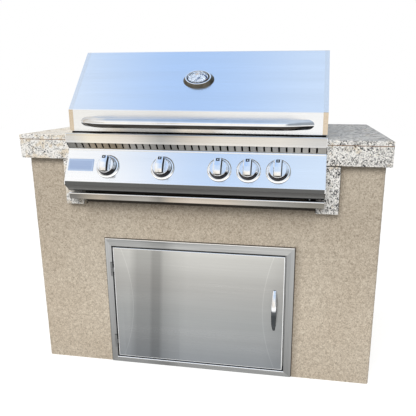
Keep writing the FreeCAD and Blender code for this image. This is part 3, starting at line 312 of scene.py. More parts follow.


# %% Every brushed steel
# Large front sheets: a fine belt leaves them bright and pale. Where the rail, the trim and the panel turn down, a
# painted reflection of dark ground darkens them.
hood_steel = brushed_steel("stainless_hood_brushed", "#F3F5F8", "#FAFCFF", 0.20)
rail_steel = brushed_steel("stainless_rail_brushed", "#F4F4F5", "#FDFDFD", 0.10, below="#5C5C5B")
front_steel = brushed_steel("stainless_front_brushed", "#F0F0F1", "#F9F9F9", 0.18, below="#5C5C5B")
panel_steel = brushed_steel("stainless_panel_brushed", "#F9FAFB", "#FFFFFF", 0.18, below="#5E5E5D",
                            turn_over=(0.30, 0.18))
# Heat and grease have dulled the vent strip, so it mirrors little.
vent_steel = brushed_steel("stainless_vent_brushed", "#C7C5C2", "#DEDBD6", 0.5, anisotropy=0.0, metallic=0.35)
# The door's frame had a coarser belt, so it is greyer. Its upright strips have an upright grain.
frame_steel = brushed_steel("stainless_frame_brushed", "#8D8E8E", "#BEBEBC", 0.34)
frame_steel_upright = brushed_steel("stainless_frame_brushed_upright", "#9A9B9B", "#BDBDBC", 0.34, "Z")
# Painted shade: the valance stands out of the light, so its steel is a flat darker grey. The drip pan has a brown film
# of fat and is darkened further as painted shade.
shaded_steel = brushed_steel("stainless_valance_brushed_painted_shade", "#8E8E8D", "#969695", 0.6, anisotropy=0.0)
pan_steel = brushed_steel("stainless_drip_pan_soiled_and_shaded", "#3E3B37", "#57534D", 0.5)
# The tray's front is bright, with a painted warm reflection of the paving, and darkens where it turns down. Polished
# edges are kept brighter than the sheets beside them, partly a painted highlight, so they give a thin white line.
tray_steel = brushed_steel("stainless_tray_front_brushed", "#F2F1EF", "#FFFEFC", 0.20, below="#6A6762")
edge_highlight_steel = brushed_steel("stainless_edge_polished_painted_highlight", "#F2F2F2", "#FFFFFF", 0.15, anisotropy=0.0)
# Mill finish, satin and etched sheet scatter light more than a belt does, so they look paler and flatter.
liner_steel = brushed_steel("stainless_liner_mill_finish", "#A8A8A7", "#BDBCBA", 0.42, anisotropy=0.3)
plate_steel = brushed_steel("stainless_plate_border_satin", "#B9CBE6", "#CBDAF0", 0.30, anisotropy=0.3)
vent_plate_steel = brushed_steel("stainless_rear_vent_brushed", "#A9AAAA", "#C3C3C2", 0.35)
field_steel = brushed_steel("stainless_plate_field_etched", "#B0C1DE", "#BFCDE6", 0.36, anisotropy=0.3)
# The door is the widest sheet, near white here, because the next cell paints its reflections and highlights on it.
door_steel = brushed_steel("stainless_door_brushed", "#F6F6F6", "#FFFFFF", 0.30)
print("brushed steels:", len([m for m in bpy.data.materials if "brushed" in m.name]))

# %% [markdown]
# ## The door's own steel
# A wide thin sheet is never quite flat. The door bellies, and its brushed face spreads what stands in front of it
# into soft upright bands, brighter above and bluish below. On a plain studio floor nothing would stand there, so the
# bands are painted reflections: one ramp across the sheet, bent a little by height, times one ramp up it. Two thin
# light arcs are painted highlights where the bellied middle meets the stiff edges. The frame round the door has calmer
# painted bands.

# %% Door steel
LEAF_X, LEAF_Z = (-0.313, 0.295), (0.025, 0.452)
# Painted reflections: stops of the ramp across the door and of the ramp up it.
ACROSS = [(0.0, 0.88), (0.09, 0.93), (0.14, 0.68), (0.215, 0.68), (0.235, 0.54), (0.275, 0.56), (0.30, 0.77),
          (0.35, 0.89), (0.44, 1.0), (0.6, 1.0), (0.9, 0.95), (1.0, 0.83)]
UPWARD = [(0.0, "#93979B"), (0.25, "#A1A3A4"), (0.4, "#A7A9A9"), (0.7, "#B0AFAC"), (0.9, "#C4C3BF"),
          (1.0, "#CECDC8")]
LEFT_CORNER = [(0.1, 1.0), (0.3, 0.0), (0.55, 0.0), (0.9, 1.0)]
ARC_HEIGHT, ARC_HALF_WIDTH, ARC_GLINT = 0.25, 1.2 * MM, 0.16
ARCS = [(-0.247, 0.9), (0.222, -0.9)]

tree = door_steel.node_tree
rise = along(tree, "Z", *LEAF_Z)
drift = add(tree, "MapRange", [rise, 0, 1, 0.025, -0.01])
bent = add(tree, "Math", [along(tree, "X", *LEAF_X), drift], operation="ADD")
# Painted reflections: the ramp across, bent by height, times the ramp up the door.
shade_by(door_steel, add(tree, "ValToRGB", [bent], stops=ACROSS))
shade_by(door_steel, add(tree, "ValToRGB", [rise], stops=UPWARD))
# Painted reflection: the lower left corner is darker.
left_corner = add(tree, "ValToRGB", [along(tree, "X", LEAF_X[0], -0.05)], stops=LEFT_CORNER)
above_corner = add(tree, "MapRange", [rise, 0.1, 0.6, 0.93, 1.0])
shade_by(door_steel, add(tree, "Math", [left_corner, above_corner], operation="MAXIMUM"))
# Painted highlights: two thin light arcs, brighter by ARC_GLINT.
spot = add(tree, "SeparateXYZ", [add(tree, "TexCoord").outputs["Object"]])
off = add(tree, "Math", [spot.outputs["Z"], ARC_HEIGHT], operation="SUBTRACT")
square = add(tree, "Math", [off, off], operation="MULTIPLY")
arcs = []
for middle_x, bow in ARCS:
    arc_x = add(tree, "Math", [square, -bow, middle_x], operation="MULTIPLY_ADD")
    arcs.append(add(tree, "Math", [spot.outputs["X"], arc_x, ARC_HALF_WIDTH], operation="COMPARE"))
either = add(tree, "Math", arcs, operation="MAXIMUM")
shade_by(door_steel, add(tree, "Math", [either, ARC_GLINT, 1.0], operation="MULTIPLY_ADD"))

# %% Bands of the door's frame
# Painted reflection and shade: the frame darkens towards the bottom, and a band across its top and bottom strips is
# darker.
for steel, lowest in ((frame_steel, 0.84), (frame_steel_upright, 0.60)):
    shade_along(steel, "Z", 0.0, 0.485, [(0.0, lowest), (0.45, 0.80), (1.0, 1.0)])
shade_along(frame_steel, "X", -0.4, 0.4, [(0.23, 1.0), (0.30, 0.80), (0.345, 0.74), (0.40, 1.0)])
print("door steel:", len(door_steel.node_tree.nodes), "nodes")

# %% [markdown]
# ## Soft bands on the rail, the tray front, the vent strip and the hood's lower edge
# Long narrow strips mirror a garden's worth of things as soft upright bands, which a plain studio lacks, so the
# bands are painted reflections. Each strip gets a ramp along its length, with places in mm. The hood's lower edge
# also carries a painted reflection, the dull image of the handle that stands before it. The vent strip darkens to
# its foot, and the valance to the fold that turns in under it: both are painted shade.

# %% Bands along the strips
BANDS_REACH = 450
# Painted reflections: place in mm along X and colour, for each strip.
RAIL_BANDS = [(-408, "#DFDEDB"), (-345, "#F6EFE0"), (-209, "#E7E1D9"), (-110, "#BFBEBB"), (-12, "#DCD6CD"),
              (83, "#E9E4DC"), (269, "#E8E4DD"), (377, "#D8D7D5")]
TRAY_BANDS = [(-410, "#7A7875"), (-365, "#9E978C"), (-323, "#B0A699"), (-280, "#9F9A93"), (-200, "#A6A39E"),
              (-160, "#A5A29D"), (-118, "#8C8984"), (-80, "#B4AA9D"), (-10, "#CAC0B5"), (100, "#C2B9AE"),
              (190, "#ACA9A5"), (274, "#949390"), (367, "#838079")]
VENT_BANDS = [(-425, "#AEADAB"), (-385, "#CBC9C5"), (-340, "#E2D2BA"), (-255, "#E2D2BA"), (-205, "#E6E5E4"),
              (-110, "#CACAC9"), (-15, "#CFCFCE"), (85, "#F3F3F2"), (275, "#FFFFFF"), (400, "#E4E3E1")]
HOOD_EDGE = [(-340, "#FFFFFF"), (-270, "#DAD2C6"), (-222, "#C0BFBD"), (-90, "#C0BFBC"), (-40, "#F2EADD"),
             (50, "#E6E0D8"), (100, "#FFFFFF")]
HOOD_EDGE_TOP = (0.866, 0.880)


def bands_along(tree, places):
    """One colour output that follows X: each place in mm becomes a stop between -BANDS_REACH and +BANDS_REACH."""
    stops = [((place + BANDS_REACH) / (2 * BANDS_REACH), colour) for place, colour in places]
    return add(tree, "ValToRGB", [along(tree, "X", -BANDS_REACH * MM, BANDS_REACH * MM)], stops=stops)


for steel, places in ((rail_steel, RAIL_BANDS), (tray_steel, TRAY_BANDS), (vent_steel, VENT_BANDS)):
    shade_by(steel, bands_along(steel.node_tree, places))
# Painted reflection on the hood's lower edge: bands along X below HOOD_EDGE_TOP, plain above it.
tree = hood_steel.node_tree
shade_by(hood_steel, add(tree, "Mix", [along(tree, "Z", *HOOD_EDGE_TOP), bands_along(tree, HOOD_EDGE), "#FFFFFF"],
                         data_type="RGBA"))
# Painted shade: the vent strip darkens to its foot; the valance is nearly black along its lowest millimetres and
# darkens again towards its top.
shade_along(vent_steel, "Z", 0.802, 0.825, [(0.0, 0.72), (0.7, 0.88), (1.0, 1.0)])
shade_along(shaded_steel, "Z", 0.665, 0.690, [(0.0, 0.10), (0.12, 0.12), (0.17, 0.95), (0.45, 0.66), (1.0, 0.44)])
print("stops along the strips:", [len(places) for places in (RAIL_BANDS, TRAY_BANDS, VENT_BANDS, HOOD_EDGE)])

# %% [markdown]
# ## Polished, cast and drawn metals
# Polished trim has no grain: it is nearly a mirror, softened by fine wiping marks. Castings and drawn rods are
# rougher and cloudier. One function makes them all from a noise whose size is given in millimetres. Out of doors
# such metal mirrors the sky above and darker paving below, which gives it its crisp dark lower edge. A white studio
# floor has none, so a ramp over the height of the surface's normal darkens what faces down, a painted reflection of
# that edge. The hood's cast ends get a painted warm reflection of the paving before them on their front.

# %% Other metals
def plain_metal(name, dark, light, roughness, cloud_mm, spread=0.05, bump=0.0, facing=None):
    """Metal with clouds cloud_mm across, times facing, a painted reflection: a ramp over (normal's height + 1) / 2, 0
    down and 1 up.
    """
    material, tree, shader = new_material(name, Metallic=1.0)
    clouds = add(tree, "TexNoise", {"Vector": scaled(tree, 1, 1, 1), "Scale": 1 / (cloud_mm * MM), "Detail": 3.0})
    tint = add(tree, "ValToRGB", [clouds], stops=[(0.35, dark), (0.65, light)])
    rough = add(tree, "MapRange", [clouds, 0.3, 0.7, roughness - spread, roughness + spread])
    if facing:
        normal = add(tree, "SeparateXYZ", [add(tree, "NewGeometry").outputs["Normal"]])
        ramp = add(tree, "ValToRGB", [add(tree, "MapRange", [normal.outputs["Z"], -1, 1])], stops=facing)
        tint = add(tree, "Mix", [1.0, ramp, tint], data_type="RGBA", blend_type="MULTIPLY")
    feed(tree, shader, {"Base Color": tint, "Roughness": rough})
    if bump:
        relief = add(tree, "Bump", {"Height": clouds, "Strength": bump, "Distance": 0.3 * MM})
        feed(tree, shader, {"Normal": relief})
    return material


# %% Every plain metal
# Painted reflection of dark paving on what faces down.
PAINTED_PAVING_REFLECTION = [(0.33, "#5A5753"), (0.52, "#FFFFFF")]
# Chrome plate is a sharp mirror with a painted dark reflection on its lower edge. The pull's edge lies high, the
# bezels' low.
chrome = plain_metal("chrome_polished", "#F0F1F3", "#FAFAFB", 0.08, 12, 0.03, facing=PAINTED_PAVING_REFLECTION)
pull_chrome = plain_metal("chrome_polished_door_pull", "#F0F1F3", "#FAFAFB", 0.12, 12, 0.03,
                          facing=[(0.47, "#45484A"), (0.53, "#5E6062"), (0.565, "#FFFFFF")])
bezel_chrome = plain_metal("chrome_polished_bezel", "#F6F7F8", "#FFFFFF", 0.14, 12, 0.03,
                           facing=[(0.2, "#58585A"), (0.33, "#FFFFFF")])
# Chromed zinc castings: sharp on the grip, softer on the face and the skirt. Grip and skirt get a painted dark
# reflection where they face down, and the side material is a dark grey of painted shade.
knob_chrome = plain_metal("zinc_knob_satin_chromed", "#F6F8FB", "#FFFFFF", 0.12, 9, 0.04, facing=PAINTED_PAVING_REFLECTION)
knob_face_chrome = plain_metal("zinc_knob_face_satin", "#F3F6FA", "#FDFDFE", 0.16, 9, 0.04)
knob_skirt_chrome = plain_metal("zinc_knob_skirt_chromed", "#F3F6FA", "#FDFDFE", 0.16, 9, 0.04,
                                facing=[(0.36, "#28282A"), (0.45, "#FFFFFF")])
knob_shade_chrome = plain_metal("zinc_knob_side_shaded", "#363637", "#454546", 0.4, 5, 0.05)
# The polished tube has a bright middle and a dark belly, a painted reflection. The cast ends have a fine grain that
# blurs the light.
tube_steel = plain_metal("stainless_tube_polished", "#F8F9FB", "#FFFFFF", 0.10, 30, 0.03,
                         facing=[(0.385, "#3E3A36"), (0.45, "#FFFFFF"), (0.66, "#FFFFFF"), (0.76, "#E0DEDC")])
cast_steel = plain_metal("stainless_hood_end_cast", "#EEEDEC", "#F8F7F6", 0.22, 4, 0.05, 0.08)
# Turned parts give small soft glints. Brass is warm, and the die-cast valves are grey and nearly matt.
hinge_steel = plain_metal("stainless_hinge_turned", "#747575", "#8A8A89", 0.35, 4)
pin_steel = plain_metal("steel_pin_bright_turned", "#9C9C9C", "#BEBEBD", 0.25, 3)
brass = plain_metal("brass_turned", "#A88846", "#CBAA62", 0.22, 6)
valve_alloy = plain_metal("aluminium_valve_die_cast", "#A5A6A8", "#C2C3C4", 0.42, 2.5, 0.06, 0.2)
# Steel that has been hot turns straw and brown. The gauge's side is a dark grey-brown of painted shade. The fire box's
# front is near black: soot, and painted shade behind the vent strip's slots.
burnt_steel = plain_metal("stainless_heat_tinted", "#6E5B4C", "#A2998D", 0.40, 60, 0.08)
gauge_side = plain_metal("chrome_gauge_side_shaded", "#585349", "#6B665C", 0.38, 12)
soot_and_shade_steel = plain_metal("stainless_firebox_front_soot_and_shade", "#131211", "#22201E", 0.6, 40, 0.08)
# Drawn rod has a soft grey shine. Zinc from a hot bath shows pale clouds, its spangle.
rod_steel = plain_metal("stainless_rod_drawn", "#8F8E8C", "#B3B1AD", 0.30, 15, 0.06)
zinc = plain_metal("steel_galvanised_spangle", "#9DA3A8", "#C3C7CA", 0.45, 14, 0.1)

# Painted reflection: the cast ends' front faces take the warm tone of the paving before them.
tree = cast_steel.node_tree
normal = add(tree, "SeparateXYZ", [add(tree, "TexCoord").outputs["Normal"]])
faces_front = add(tree, "MapRange", [normal.outputs["Y"], -0.85, -0.95])
shade_by(cast_steel, add(tree, "Mix", [faces_front, "#FFFFFF", "#EADBC6"], data_type="RGBA"))
print("materials so far:", len(bpy.data.materials))

# %% [markdown]
# ## Stucco
# A sand float is a cement coat rubbed round with a sponge while it sets. The sand rolls and leaves short winding
# furrows, 8 to 15 mm long, and single grains of about 1 mm. The larger furrows are real shape in the mesh below;
# the material has the grain, faint clouds from uneven drying and a few darker grains. A thin dark line of painted
# shade lies where the coat meets the granite, the frame of the door and the grill: a line round each of their
# outlines, on the front only. Painted soft shade lies under the tray and beside the door's frame, which stands
# proud, and the coat is painted darker towards the top.

# %% Stucco
# Outlines that meet the coat, with the width of the painted shade line outside them: (x from, to), (z from, to), width,
# all in mm.
TOUCHING = [((-620, 620), (JAMB_Z[1], 900), 3.2), ((-395, 386), (619, 900), 6.0), ((-340, 326), (0, 484.6), 3.2),
            ((JAMB_X[0], GRILL_X[0]), JAMB_Z, 3.0), ((GRILL_X[1], JAMB_X[1]), JAMB_Z, 3.5)]
LINE_STRENGTH = 0.88
# Each shade is a product of ramps: axis, from, to in metres, and the share at either end.
SHADES = [[("X", -0.4045, -0.3845, 0, 1), ("X", 0.3755, 0.3955, 1, 0), ("Z", 0.535, 0.618, 0, 0.22)],
          [("X", 0.1, 0.2, 0, 1), ("X", 0.327, 0.355, 0.44, 0), ("Z", 0.478, 0.492, 1, 0)]]
LESS_LIGHT_UP = [(0.2, 0.99), (0.36, 0.90), (0.48, 0.84), (0.6, 0.77)]

stucco, tree, shader = new_material("cement_stucco_sand_float", Roughness=0.95)
here = scaled(tree, 1, 1, 1)
spot = add(tree, "SeparateXYZ", [here])
sand = add(tree, "TexNoise", {"Vector": here, "Scale": 1 / (3 * MM), "Detail": 3.0, "Roughness": 0.65})
furrows = add(tree, "TexNoise", {"Vector": here, "Scale": 1 / (6.5 * MM), "Detail": 2.0, "Distortion": 1.2})
cloud = add(tree, "TexNoise", {"Vector": here, "Scale": 1 / (220 * MM), "Detail": 2.0})
speck = add(tree, "TexVoronoi", {"Vector": here, "Scale": 1 / (22 * MM)}, feature="F1")
grit = add(tree, "Math", [sand, 0.45, 0.0], operation="MULTIPLY_ADD")
hollow = add(tree, "Math", [furrows, 0.55, grit], operation="MULTIPLY_ADD")
base = add(tree, "ValToRGB", [hollow], stops=[(0.36, "#AEA291"), (0.5, "#D3C6B4"), (0.62, "#E9DECC")])
drying = add(tree, "ValToRGB", [cloud], stops=[(0.35, "#F7F4F0"), (0.65, "#FFFEFC")])
mixed = add(tree, "Mix", [1.0, base, drying], data_type="RGBA", blend_type="MULTIPLY")
dark_grain = add(tree, "MapRange", [speck.outputs["Distance"], 0.03, 0.09, 0.35, 0.0])
finished = add(tree, "Mix", [dark_grain, mixed, "#6B5A48"], data_type="RGBA")

# Painted shade on the front only: a thin dark line round each outline, then soft shade under the tray and beside the
# frame.
in_front = add(tree, "MapRange", [spot.outputs["Y"], -0.325, -0.33, 0.0, LINE_STRENGTH])
line = 0.0
for *ranges, width in TOUCHING:
    gaps = []  # |place - middle| - half on each axis; the larger one is the distance outside the rectangle
    for axis, (low, high) in zip("XZ", ranges):
        away = add(tree, "Math", [spot.outputs[axis], (low + high) / 2 * MM], operation="SUBTRACT")
        away = add(tree, "Math", [away], operation="ABSOLUTE")
        gaps.append(add(tree, "Math", [away, (high - low) / 2 * MM], operation="SUBTRACT"))
    gap = add(tree, "Math", gaps, operation="MAXIMUM")
    near = add(tree, "MapRange", [gap, 0.6 * width * MM, width * MM, 1.0, 0.0])
    line = add(tree, "Math", [line, near], operation="MAXIMUM")
line = add(tree, "Math", [line, in_front], operation="MULTIPLY")
finished = add(tree, "Mix", [line, finished, "#2A2622"], data_type="RGBA")
for ramps in SHADES:
    shade = in_front
    for axis, *ends in ramps:
        share = add(tree, "MapRange", [spot.outputs[axis], *ends])
        shade = add(tree, "Math", [shade, share], operation="MULTIPLY")
    finished = add(tree, "Mix", [shade, finished, "#382716"], data_type="RGBA")
# Painted shade: the coat darkens towards the top.
height = add(tree, "ValToRGB", [spot.outputs["Z"]], stops=LESS_LIGHT_UP)
finished = add(tree, "Mix", [1.0, finished, height], data_type="RGBA", blend_type="MULTIPLY")
worn = add(tree, "Math", [furrows, 1.6, sand], operation="MULTIPLY_ADD")
relief = add(tree, "Bump", {"Height": worn, "Strength": 0.6, "Distance": 1.4 * MM})
feed(tree, shader, {"Base Color": finished, "Normal": relief})
print("stucco:", len(tree.nodes), "nodes, with a thin line round", len(TOUCHING), "outlines")

# %% Cement board
# Pressed board is grey and dull, with the fibres of its pulp in it.
cement, tree, shader = new_material("cement_board_pressed", Roughness=0.9)
fibres = add(tree, "TexNoise", {"Vector": scaled(tree, 60, 60, 400), "Scale": 1.0, "Detail": 4.0})
feed(tree, shader, {"Base Color": add(tree, "ValToRGB", [fibres], stops=[(0.35, "#8E8D88"), (0.65, "#ACABA5")])})

# %% [markdown]
# ## Granite
# The stone is a pale granite: cream and white feldspar in crystals of 5 to 12 mm, grey glassy quartz, and black
# mica and hornblende in flecks of 2 to 6 mm that gather in clouds. Each mineral is a noise of its own size, and a
# slow noise decides where it is common: rust to the left, mica to the right. The sawn faces are polished. The slab
# is 15 mm thick and has a strip glued under its edge, so a thin brown line of resin runs round the counter at the
# joint, drawn by height, and a darker one where the strip meets the stone beside the grill.

# %% Granite
# Thin lines at a height: height in metres, half the line's width and its colour.
JOINTS = [(JAMB_Z[1] * MM, 1.2 * MM, "#3A342E"), (APRON_TOP * MM, 1.1 * MM, "#7A5F45")]

granite, tree, shader = new_material("granite_polished", Roughness=0.22, Specular_IOR_Level=0.3)
here = scaled(tree, 1, 1, 1)
spot = add(tree, "SeparateXYZ", [here])
crystals = add(tree, "TexNoise", {"Vector": here, "Scale": 1 / (6 * MM), "Detail": 2.0, "Distortion": 0.8})
pale = add(tree, "ValToRGB", [crystals],
           stops=[(0.36, "#9F9E9C"), (0.44, "#D6D4CF"), (0.5, "#F0EEEA"), (0.62, "#E8E4DD"), (0.7, "#C8C3BA")])
rust = add(tree, "TexNoise", {"Vector": here, "Scale": 1 / (26 * MM), "Detail": 2.0})
more_left = add(tree, "MapRange", [spot.outputs["X"], -0.5, 0.3, 0.05, -0.05])
warmth = add(tree, "Math", [rust, more_left], operation="ADD")
warm = add(tree, "Mix", [add(tree, "MapRange", [warmth, 0.53, 0.66, 0.0, 0.55]), pale, "#D2BF9F"], data_type="RGBA")
gather = add(tree, "TexNoise", {"Vector": here, "Scale": 1 / (28 * MM), "Detail": 1.0})
flecks = add(tree, "TexNoise", {"Vector": here, "Scale": 1 / (7 * MM), "Detail": 2.0, "Roughness": 0.58,
                                "Distortion": 1.8})
more_right = add(tree, "MapRange", [spot.outputs["X"], -0.6, 0.6, -0.02, 0.03])
crowd = add(tree, "Math", [gather, 0.28, more_right], operation="MULTIPLY_ADD")
chance = add(tree, "Math", [flecks, crowd], operation="ADD")
stone = add(tree, "Mix", [add(tree, "MapRange", [chance, 0.69, 0.73, 0.0, 0.45]), warm, "#8A8A8C"], data_type="RGBA")
stone = add(tree, "Mix", [add(tree, "MapRange", [chance, 0.725, 0.745]), stone, "#1B1B1F"], data_type="RGBA")
for height, half_width, colour in JOINTS:
    at_height = add(tree, "Math", [spot.outputs["Z"], height, half_width], operation="COMPARE")
    stone = add(tree, "Mix", [at_height, stone, colour], data_type="RGBA")
feed(tree, shader, {"Base Color": stone})
print("granite:", len(tree.nodes), "nodes")

# %% [markdown]
# ## Ceramic, print, paint, glass and plastic
# The last finishes are small: the porous tile of the rear burner, the enamelled dial, its printing inks, the
# needle's paint, the glass over it and the moulded catch. Each still has the faint unevenness of its process.

# %% Small finishes
def plain_coat(name, dark, light, roughness, size_mm, **sockets):
    """A coat, opaque unless its sockets say otherwise, with a faint mottle, size_mm across."""
    material, tree, shader = new_material(name, Roughness=roughness, **sockets)
    mottle = add(tree, "TexNoise", {"Vector": scaled(tree, 1, 1, 1), "Scale": 1 / (size_mm * MM), "Detail": 2.0})
    feed(tree, shader, {"Base Color": add(tree, "ValToRGB", [mottle], stops=[(0.3, dark), (0.7, light)])})
    return material


# Fired tile is porous, so it is sandy and quite matt. Enamel is white glass on steel, with a soft gloss.
ceramic = plain_coat("ceramic_burner_tile_porous", "#A6947D", "#CBBBA3", 0.95, 4)
dial_enamel = plain_coat("dial_enamelled_white", "#DCE3EC", "#EEF2F7", 0.35, 20)
# Ink dries thin and half matt, so a mark reads as flat colour.
black_ink = plain_coat("ink_black_printed", "#1B1D22", "#2A2D33", 0.5, 5)
blue_ink = plain_coat("ink_blue_printed", "#24365C", "#2F4473", 0.5, 5)
tan_ink = plain_coat("ink_tan_printed", "#B08A5E", "#C29C70", 0.5, 5)
brown_ink = plain_coat("ink_brown_printed", "#8A5638", "#A0683F", 0.5, 5)
# Sprayed paint on the needle, moulded plastic with a dull sheen, and the filled mark of a knob.
needle_paint = plain_coat("needle_painted_grey", "#8A97AD", "#9AA7BB", 0.4, 5)
magnet_plastic = plain_coat("catch_moulded_black", "#1D1D1D", "#2B2B2B", 0.55, 6)
slot_paint = plain_coat("knob_mark_black_filled", "#141414", "#222222", 0.6, 4)
# Clear glass shows what lies behind it, with a thin bright gleam on top.
gauge_glass = plain_coat("gauge_glass_clear", "#F6FAFF", "#FFFFFF", 0.02, 15, IOR=1.5, Transmission_Weight=1.0)
print("materials in all:", len(bpy.data.materials))

# %% [markdown]
# ## Finishes for the CAD solids
# Solids whose shape is already right keep it and only get a finish.

# %% Finish of each CAD node
finish_of = {
    zinc: "frame_rails frame_studs tray_runners",
    cement: "board_front cement_boards",
    stucco: "stucco_front stucco_walls",
    granite: "countertop_slab apron_front apron_walls jamb_strips",
    hood_steel: "hood_skin",
    rail_steel: "front_rail",
    front_steel: "panel_end_caps counter_trim",
    panel_steel: "control_panel",
    vent_steel: "vent_strip",
    shaded_steel: "panel_valance",
    tray_steel: "tray_front",
    vent_plate_steel: "rear_vent",
    door_steel: "door_leaf",
    frame_steel: "door_frame",
    liner_steel: "firebox_sides firebox_rear hood_liner door_liner",
    pan_steel: "drip_pan",
    soot_and_shade_steel: "firebox_front",
    plate_steel: "name_plate",
    chrome: "door_handle thermometer_case",
    bezel_chrome: "knob_bezels",
    hinge_steel: "hinge_knuckles hinge_pins",
    knob_chrome: "knob_1 knob_2 knob_3 knob_4 knob_5",
    tube_steel: "hood_handle",
    cast_steel: "hood_ends",
    pin_steel: "handle_bolts hood_hinge_pins valve_stem_1 valve_stem_2 valve_stem_3 valve_stem_4 valve_stem_5",
    brass: "inlet_fitting",
    valve_alloy: "valve_bodies",
    burnt_steel: "burners heat_plates gas_manifold",
    ceramic: "rear_burner",
    rod_steel: "cooking_grates warming_rack",
    dial_enamel: "thermometer_dial",
    needle_paint: "thermometer_needle",
    gauge_glass: "thermometer_glass",
    magnet_plastic: "door_catch",
}
for material, names in finish_of.items():
    for name in names.split():
        for material_slot in nodes[name].material_slots:
            material_slot.material = material
print("CAD nodes with a finish:", sum(len(names.split()) for names in finish_of.values()), "of", len(nodes))

# %% [markdown]
# ## Stucco coat
# On the real base the coat runs round the corners, which a trowel leaves rounded by about 8 mm. It is nearly 10 mm
# thick and comes as two skins: the front, open for the grill and the door, and the other walls, open for the vent.
# A plane with a noise texture would look flat at the edges, so the furrows are real: value noise pushes the grid in
# and out by under a millimetre. Each skin is an outer grid, an inner grid and a rim wherever a cell is left out.

# %% Noise and skins
def lattice_noise(points, size, seed):
    """Value noise: random numbers on the corners of cubes of this size, blended inside each by 3t^2 - 2t^3."""
    cell = points / size
    whole = np.floor(cell).astype(np.int64)
    t = cell - whole
    t = t * t * (3 - 2 * t)
    total = np.zeros(points.shape[:-1])
    for corner in np.ndindex(2, 2, 2):
        key = whole + corner
        mixed = key[..., 0] * 73856093 ^ key[..., 1] * 19349663 ^ key[..., 2] * 83492791 ^ seed * 97531
        mixed = (mixed ^ mixed >> 13) * 1274126177
        value = ((mixed ^ mixed >> 16) & 0xFFFF) / 0xFFFF
        total += value * np.prod(np.where(corner, t, 1 - t), axis=-1)
    return total


def skin(outer, inner, kept):
    """Closed skin: the kept cells of the outer grid, the same cells of the inner grid, and the rim between."""
    index = np.arange(outer.shape[0] * outer.shape[1]).reshape(outer.shape[:2])
    cells = np.stack([index[:-1, :-1], index[1:, :-1], index[1:, 1:], index[:-1, 1:]], -1)[kept]
    padded = np.pad(kept, 1)
    level = padded[1:, 1:-1] != padded[:-1, 1:-1]
    upright = padded[1:-1, 1:] != padded[1:-1, :-1]
    starts = np.concatenate([index[:, :-1][level], index[:-1][upright]])
    ends = np.concatenate([index[:, 1:][level], index[1:][upright]])
    rim = np.stack([starts, ends, ends + index.size, starts + index.size], -1)
    faces = np.concatenate([cells, cells[:, ::-1] + index.size, rim])
    return np.concatenate([outer.reshape(-1, 3), inner.reshape(-1, 3)]), faces, 0


# %% Relief of the float and a coat along a plan line
def spaced(stops, pitch):
    """Numbers from the first stop to the last, through every stop, no more than a pitch apart."""
    runs = [np.linspace(a, b, max(2, math.ceil((b - a) / pitch) + 1)) for a, b in zip(stops, stops[1:])]
    return np.unique(np.concatenate(runs).round(4))


def float_relief(points):
    """Furrows of the sponge: the noise's middle value, |2n - 1|, winds like a worm, plus single grains."""
    bend = 9 * np.stack([lattice_noise(points, 22, seed) for seed in (1, 2, 3)], -1)
    furrow = np.abs(2 * lattice_noise(points + bend, 10, 4) - 1)
    return 1.1 * np.minimum(furrow, 0.5) - 0.5 + 0.5 * (lattice_noise(points, 4.5, 5) - 0.5)


def coat(plan, outward, heights, thickness, openings):
    """Skin over a plan line and heights: plan + relief * outward outside, plan - thickness * outward inside."""
    line, out = (np.pad(pairs, ((0, 0), (0, 1))) for pairs in (plan, outward))
    flat = line[None] + heights[:, None, None] * np.array([0.0, 0.0, 1.0])
    outer = flat + float_relief(flat)[..., None] * out
    x, y, z = np.moveaxis((flat[:-1, :-1] + flat[1:, 1:]) / 2, -1, 0)
    kept = np.ones(x.shape, bool)
    for side, (x0, x1), (z0, z1) in openings:
        kept &= ~((x > x0) & (x < x1) & (z > z0) & (z < z1) & (np.sign(y) == side))
    return skin(outer, flat - thickness * out, kept)


def mirrored(line):
    """A plan line of (x, y) pairs on the other side of x = 0, run the other way."""
    return (line * [-1, 1])[::-1]


# %% Front coat with the grill's notch and the doorway
WALL_X, WALL_Y = 595.0, 341.0
CORNER_RADIUS, FRONT_THICKNESS, WALL_THICKNESS = 8.0, 9.0, 10.0
FINE_PITCH, COARSE_PITCH = 4.2, 7.0
FRONT_COAT_END = -331.0
notch = (-1, GRILL_X, (632.0, APRON_TOP + 1))
doorway_cut = (-1, (-320.7, 302.7), (-1.0, 459.9))
vent_hole = (1, (170.0, 430.0), (75.0, 185.0))
flat_x, flat_y = WALL_X - CORNER_RADIUS, WALL_Y - CORNER_RADIUS
quarter = np.linspace(0, np.pi / 2, 6)
arc = np.stack([np.cos(quarter), np.sin(quarter)], 1)

face_x = spaced([-flat_x, GRILL_X[0], *doorway_cut[1], GRILL_X[1], flat_x], FINE_PITCH)
left = np.concatenate([[(-WALL_X, FRONT_COAT_END)], [-flat_x, -flat_y] - CORNER_RADIUS * arc[:-1]])
left_out = np.concatenate([[(-1.0, 0.0)], -arc[:-1]])
plan = np.concatenate([left, np.stack([face_x, np.full(len(face_x), -WALL_Y)], 1), mirrored(left)])
outward = np.concatenate([left_out, np.tile([0.0, -1.0], (len(face_x), 1)), mirrored(left_out)])
heights = spaced([0, doorway_cut[2][1], notch[2][0], APRON_TOP], FINE_PITCH)
piece("stucco_front_coat", [coat(plan, outward, heights, FRONT_THICKNESS, [notch, doorway_cut])], [stucco],
      "island", ["stucco_front"])

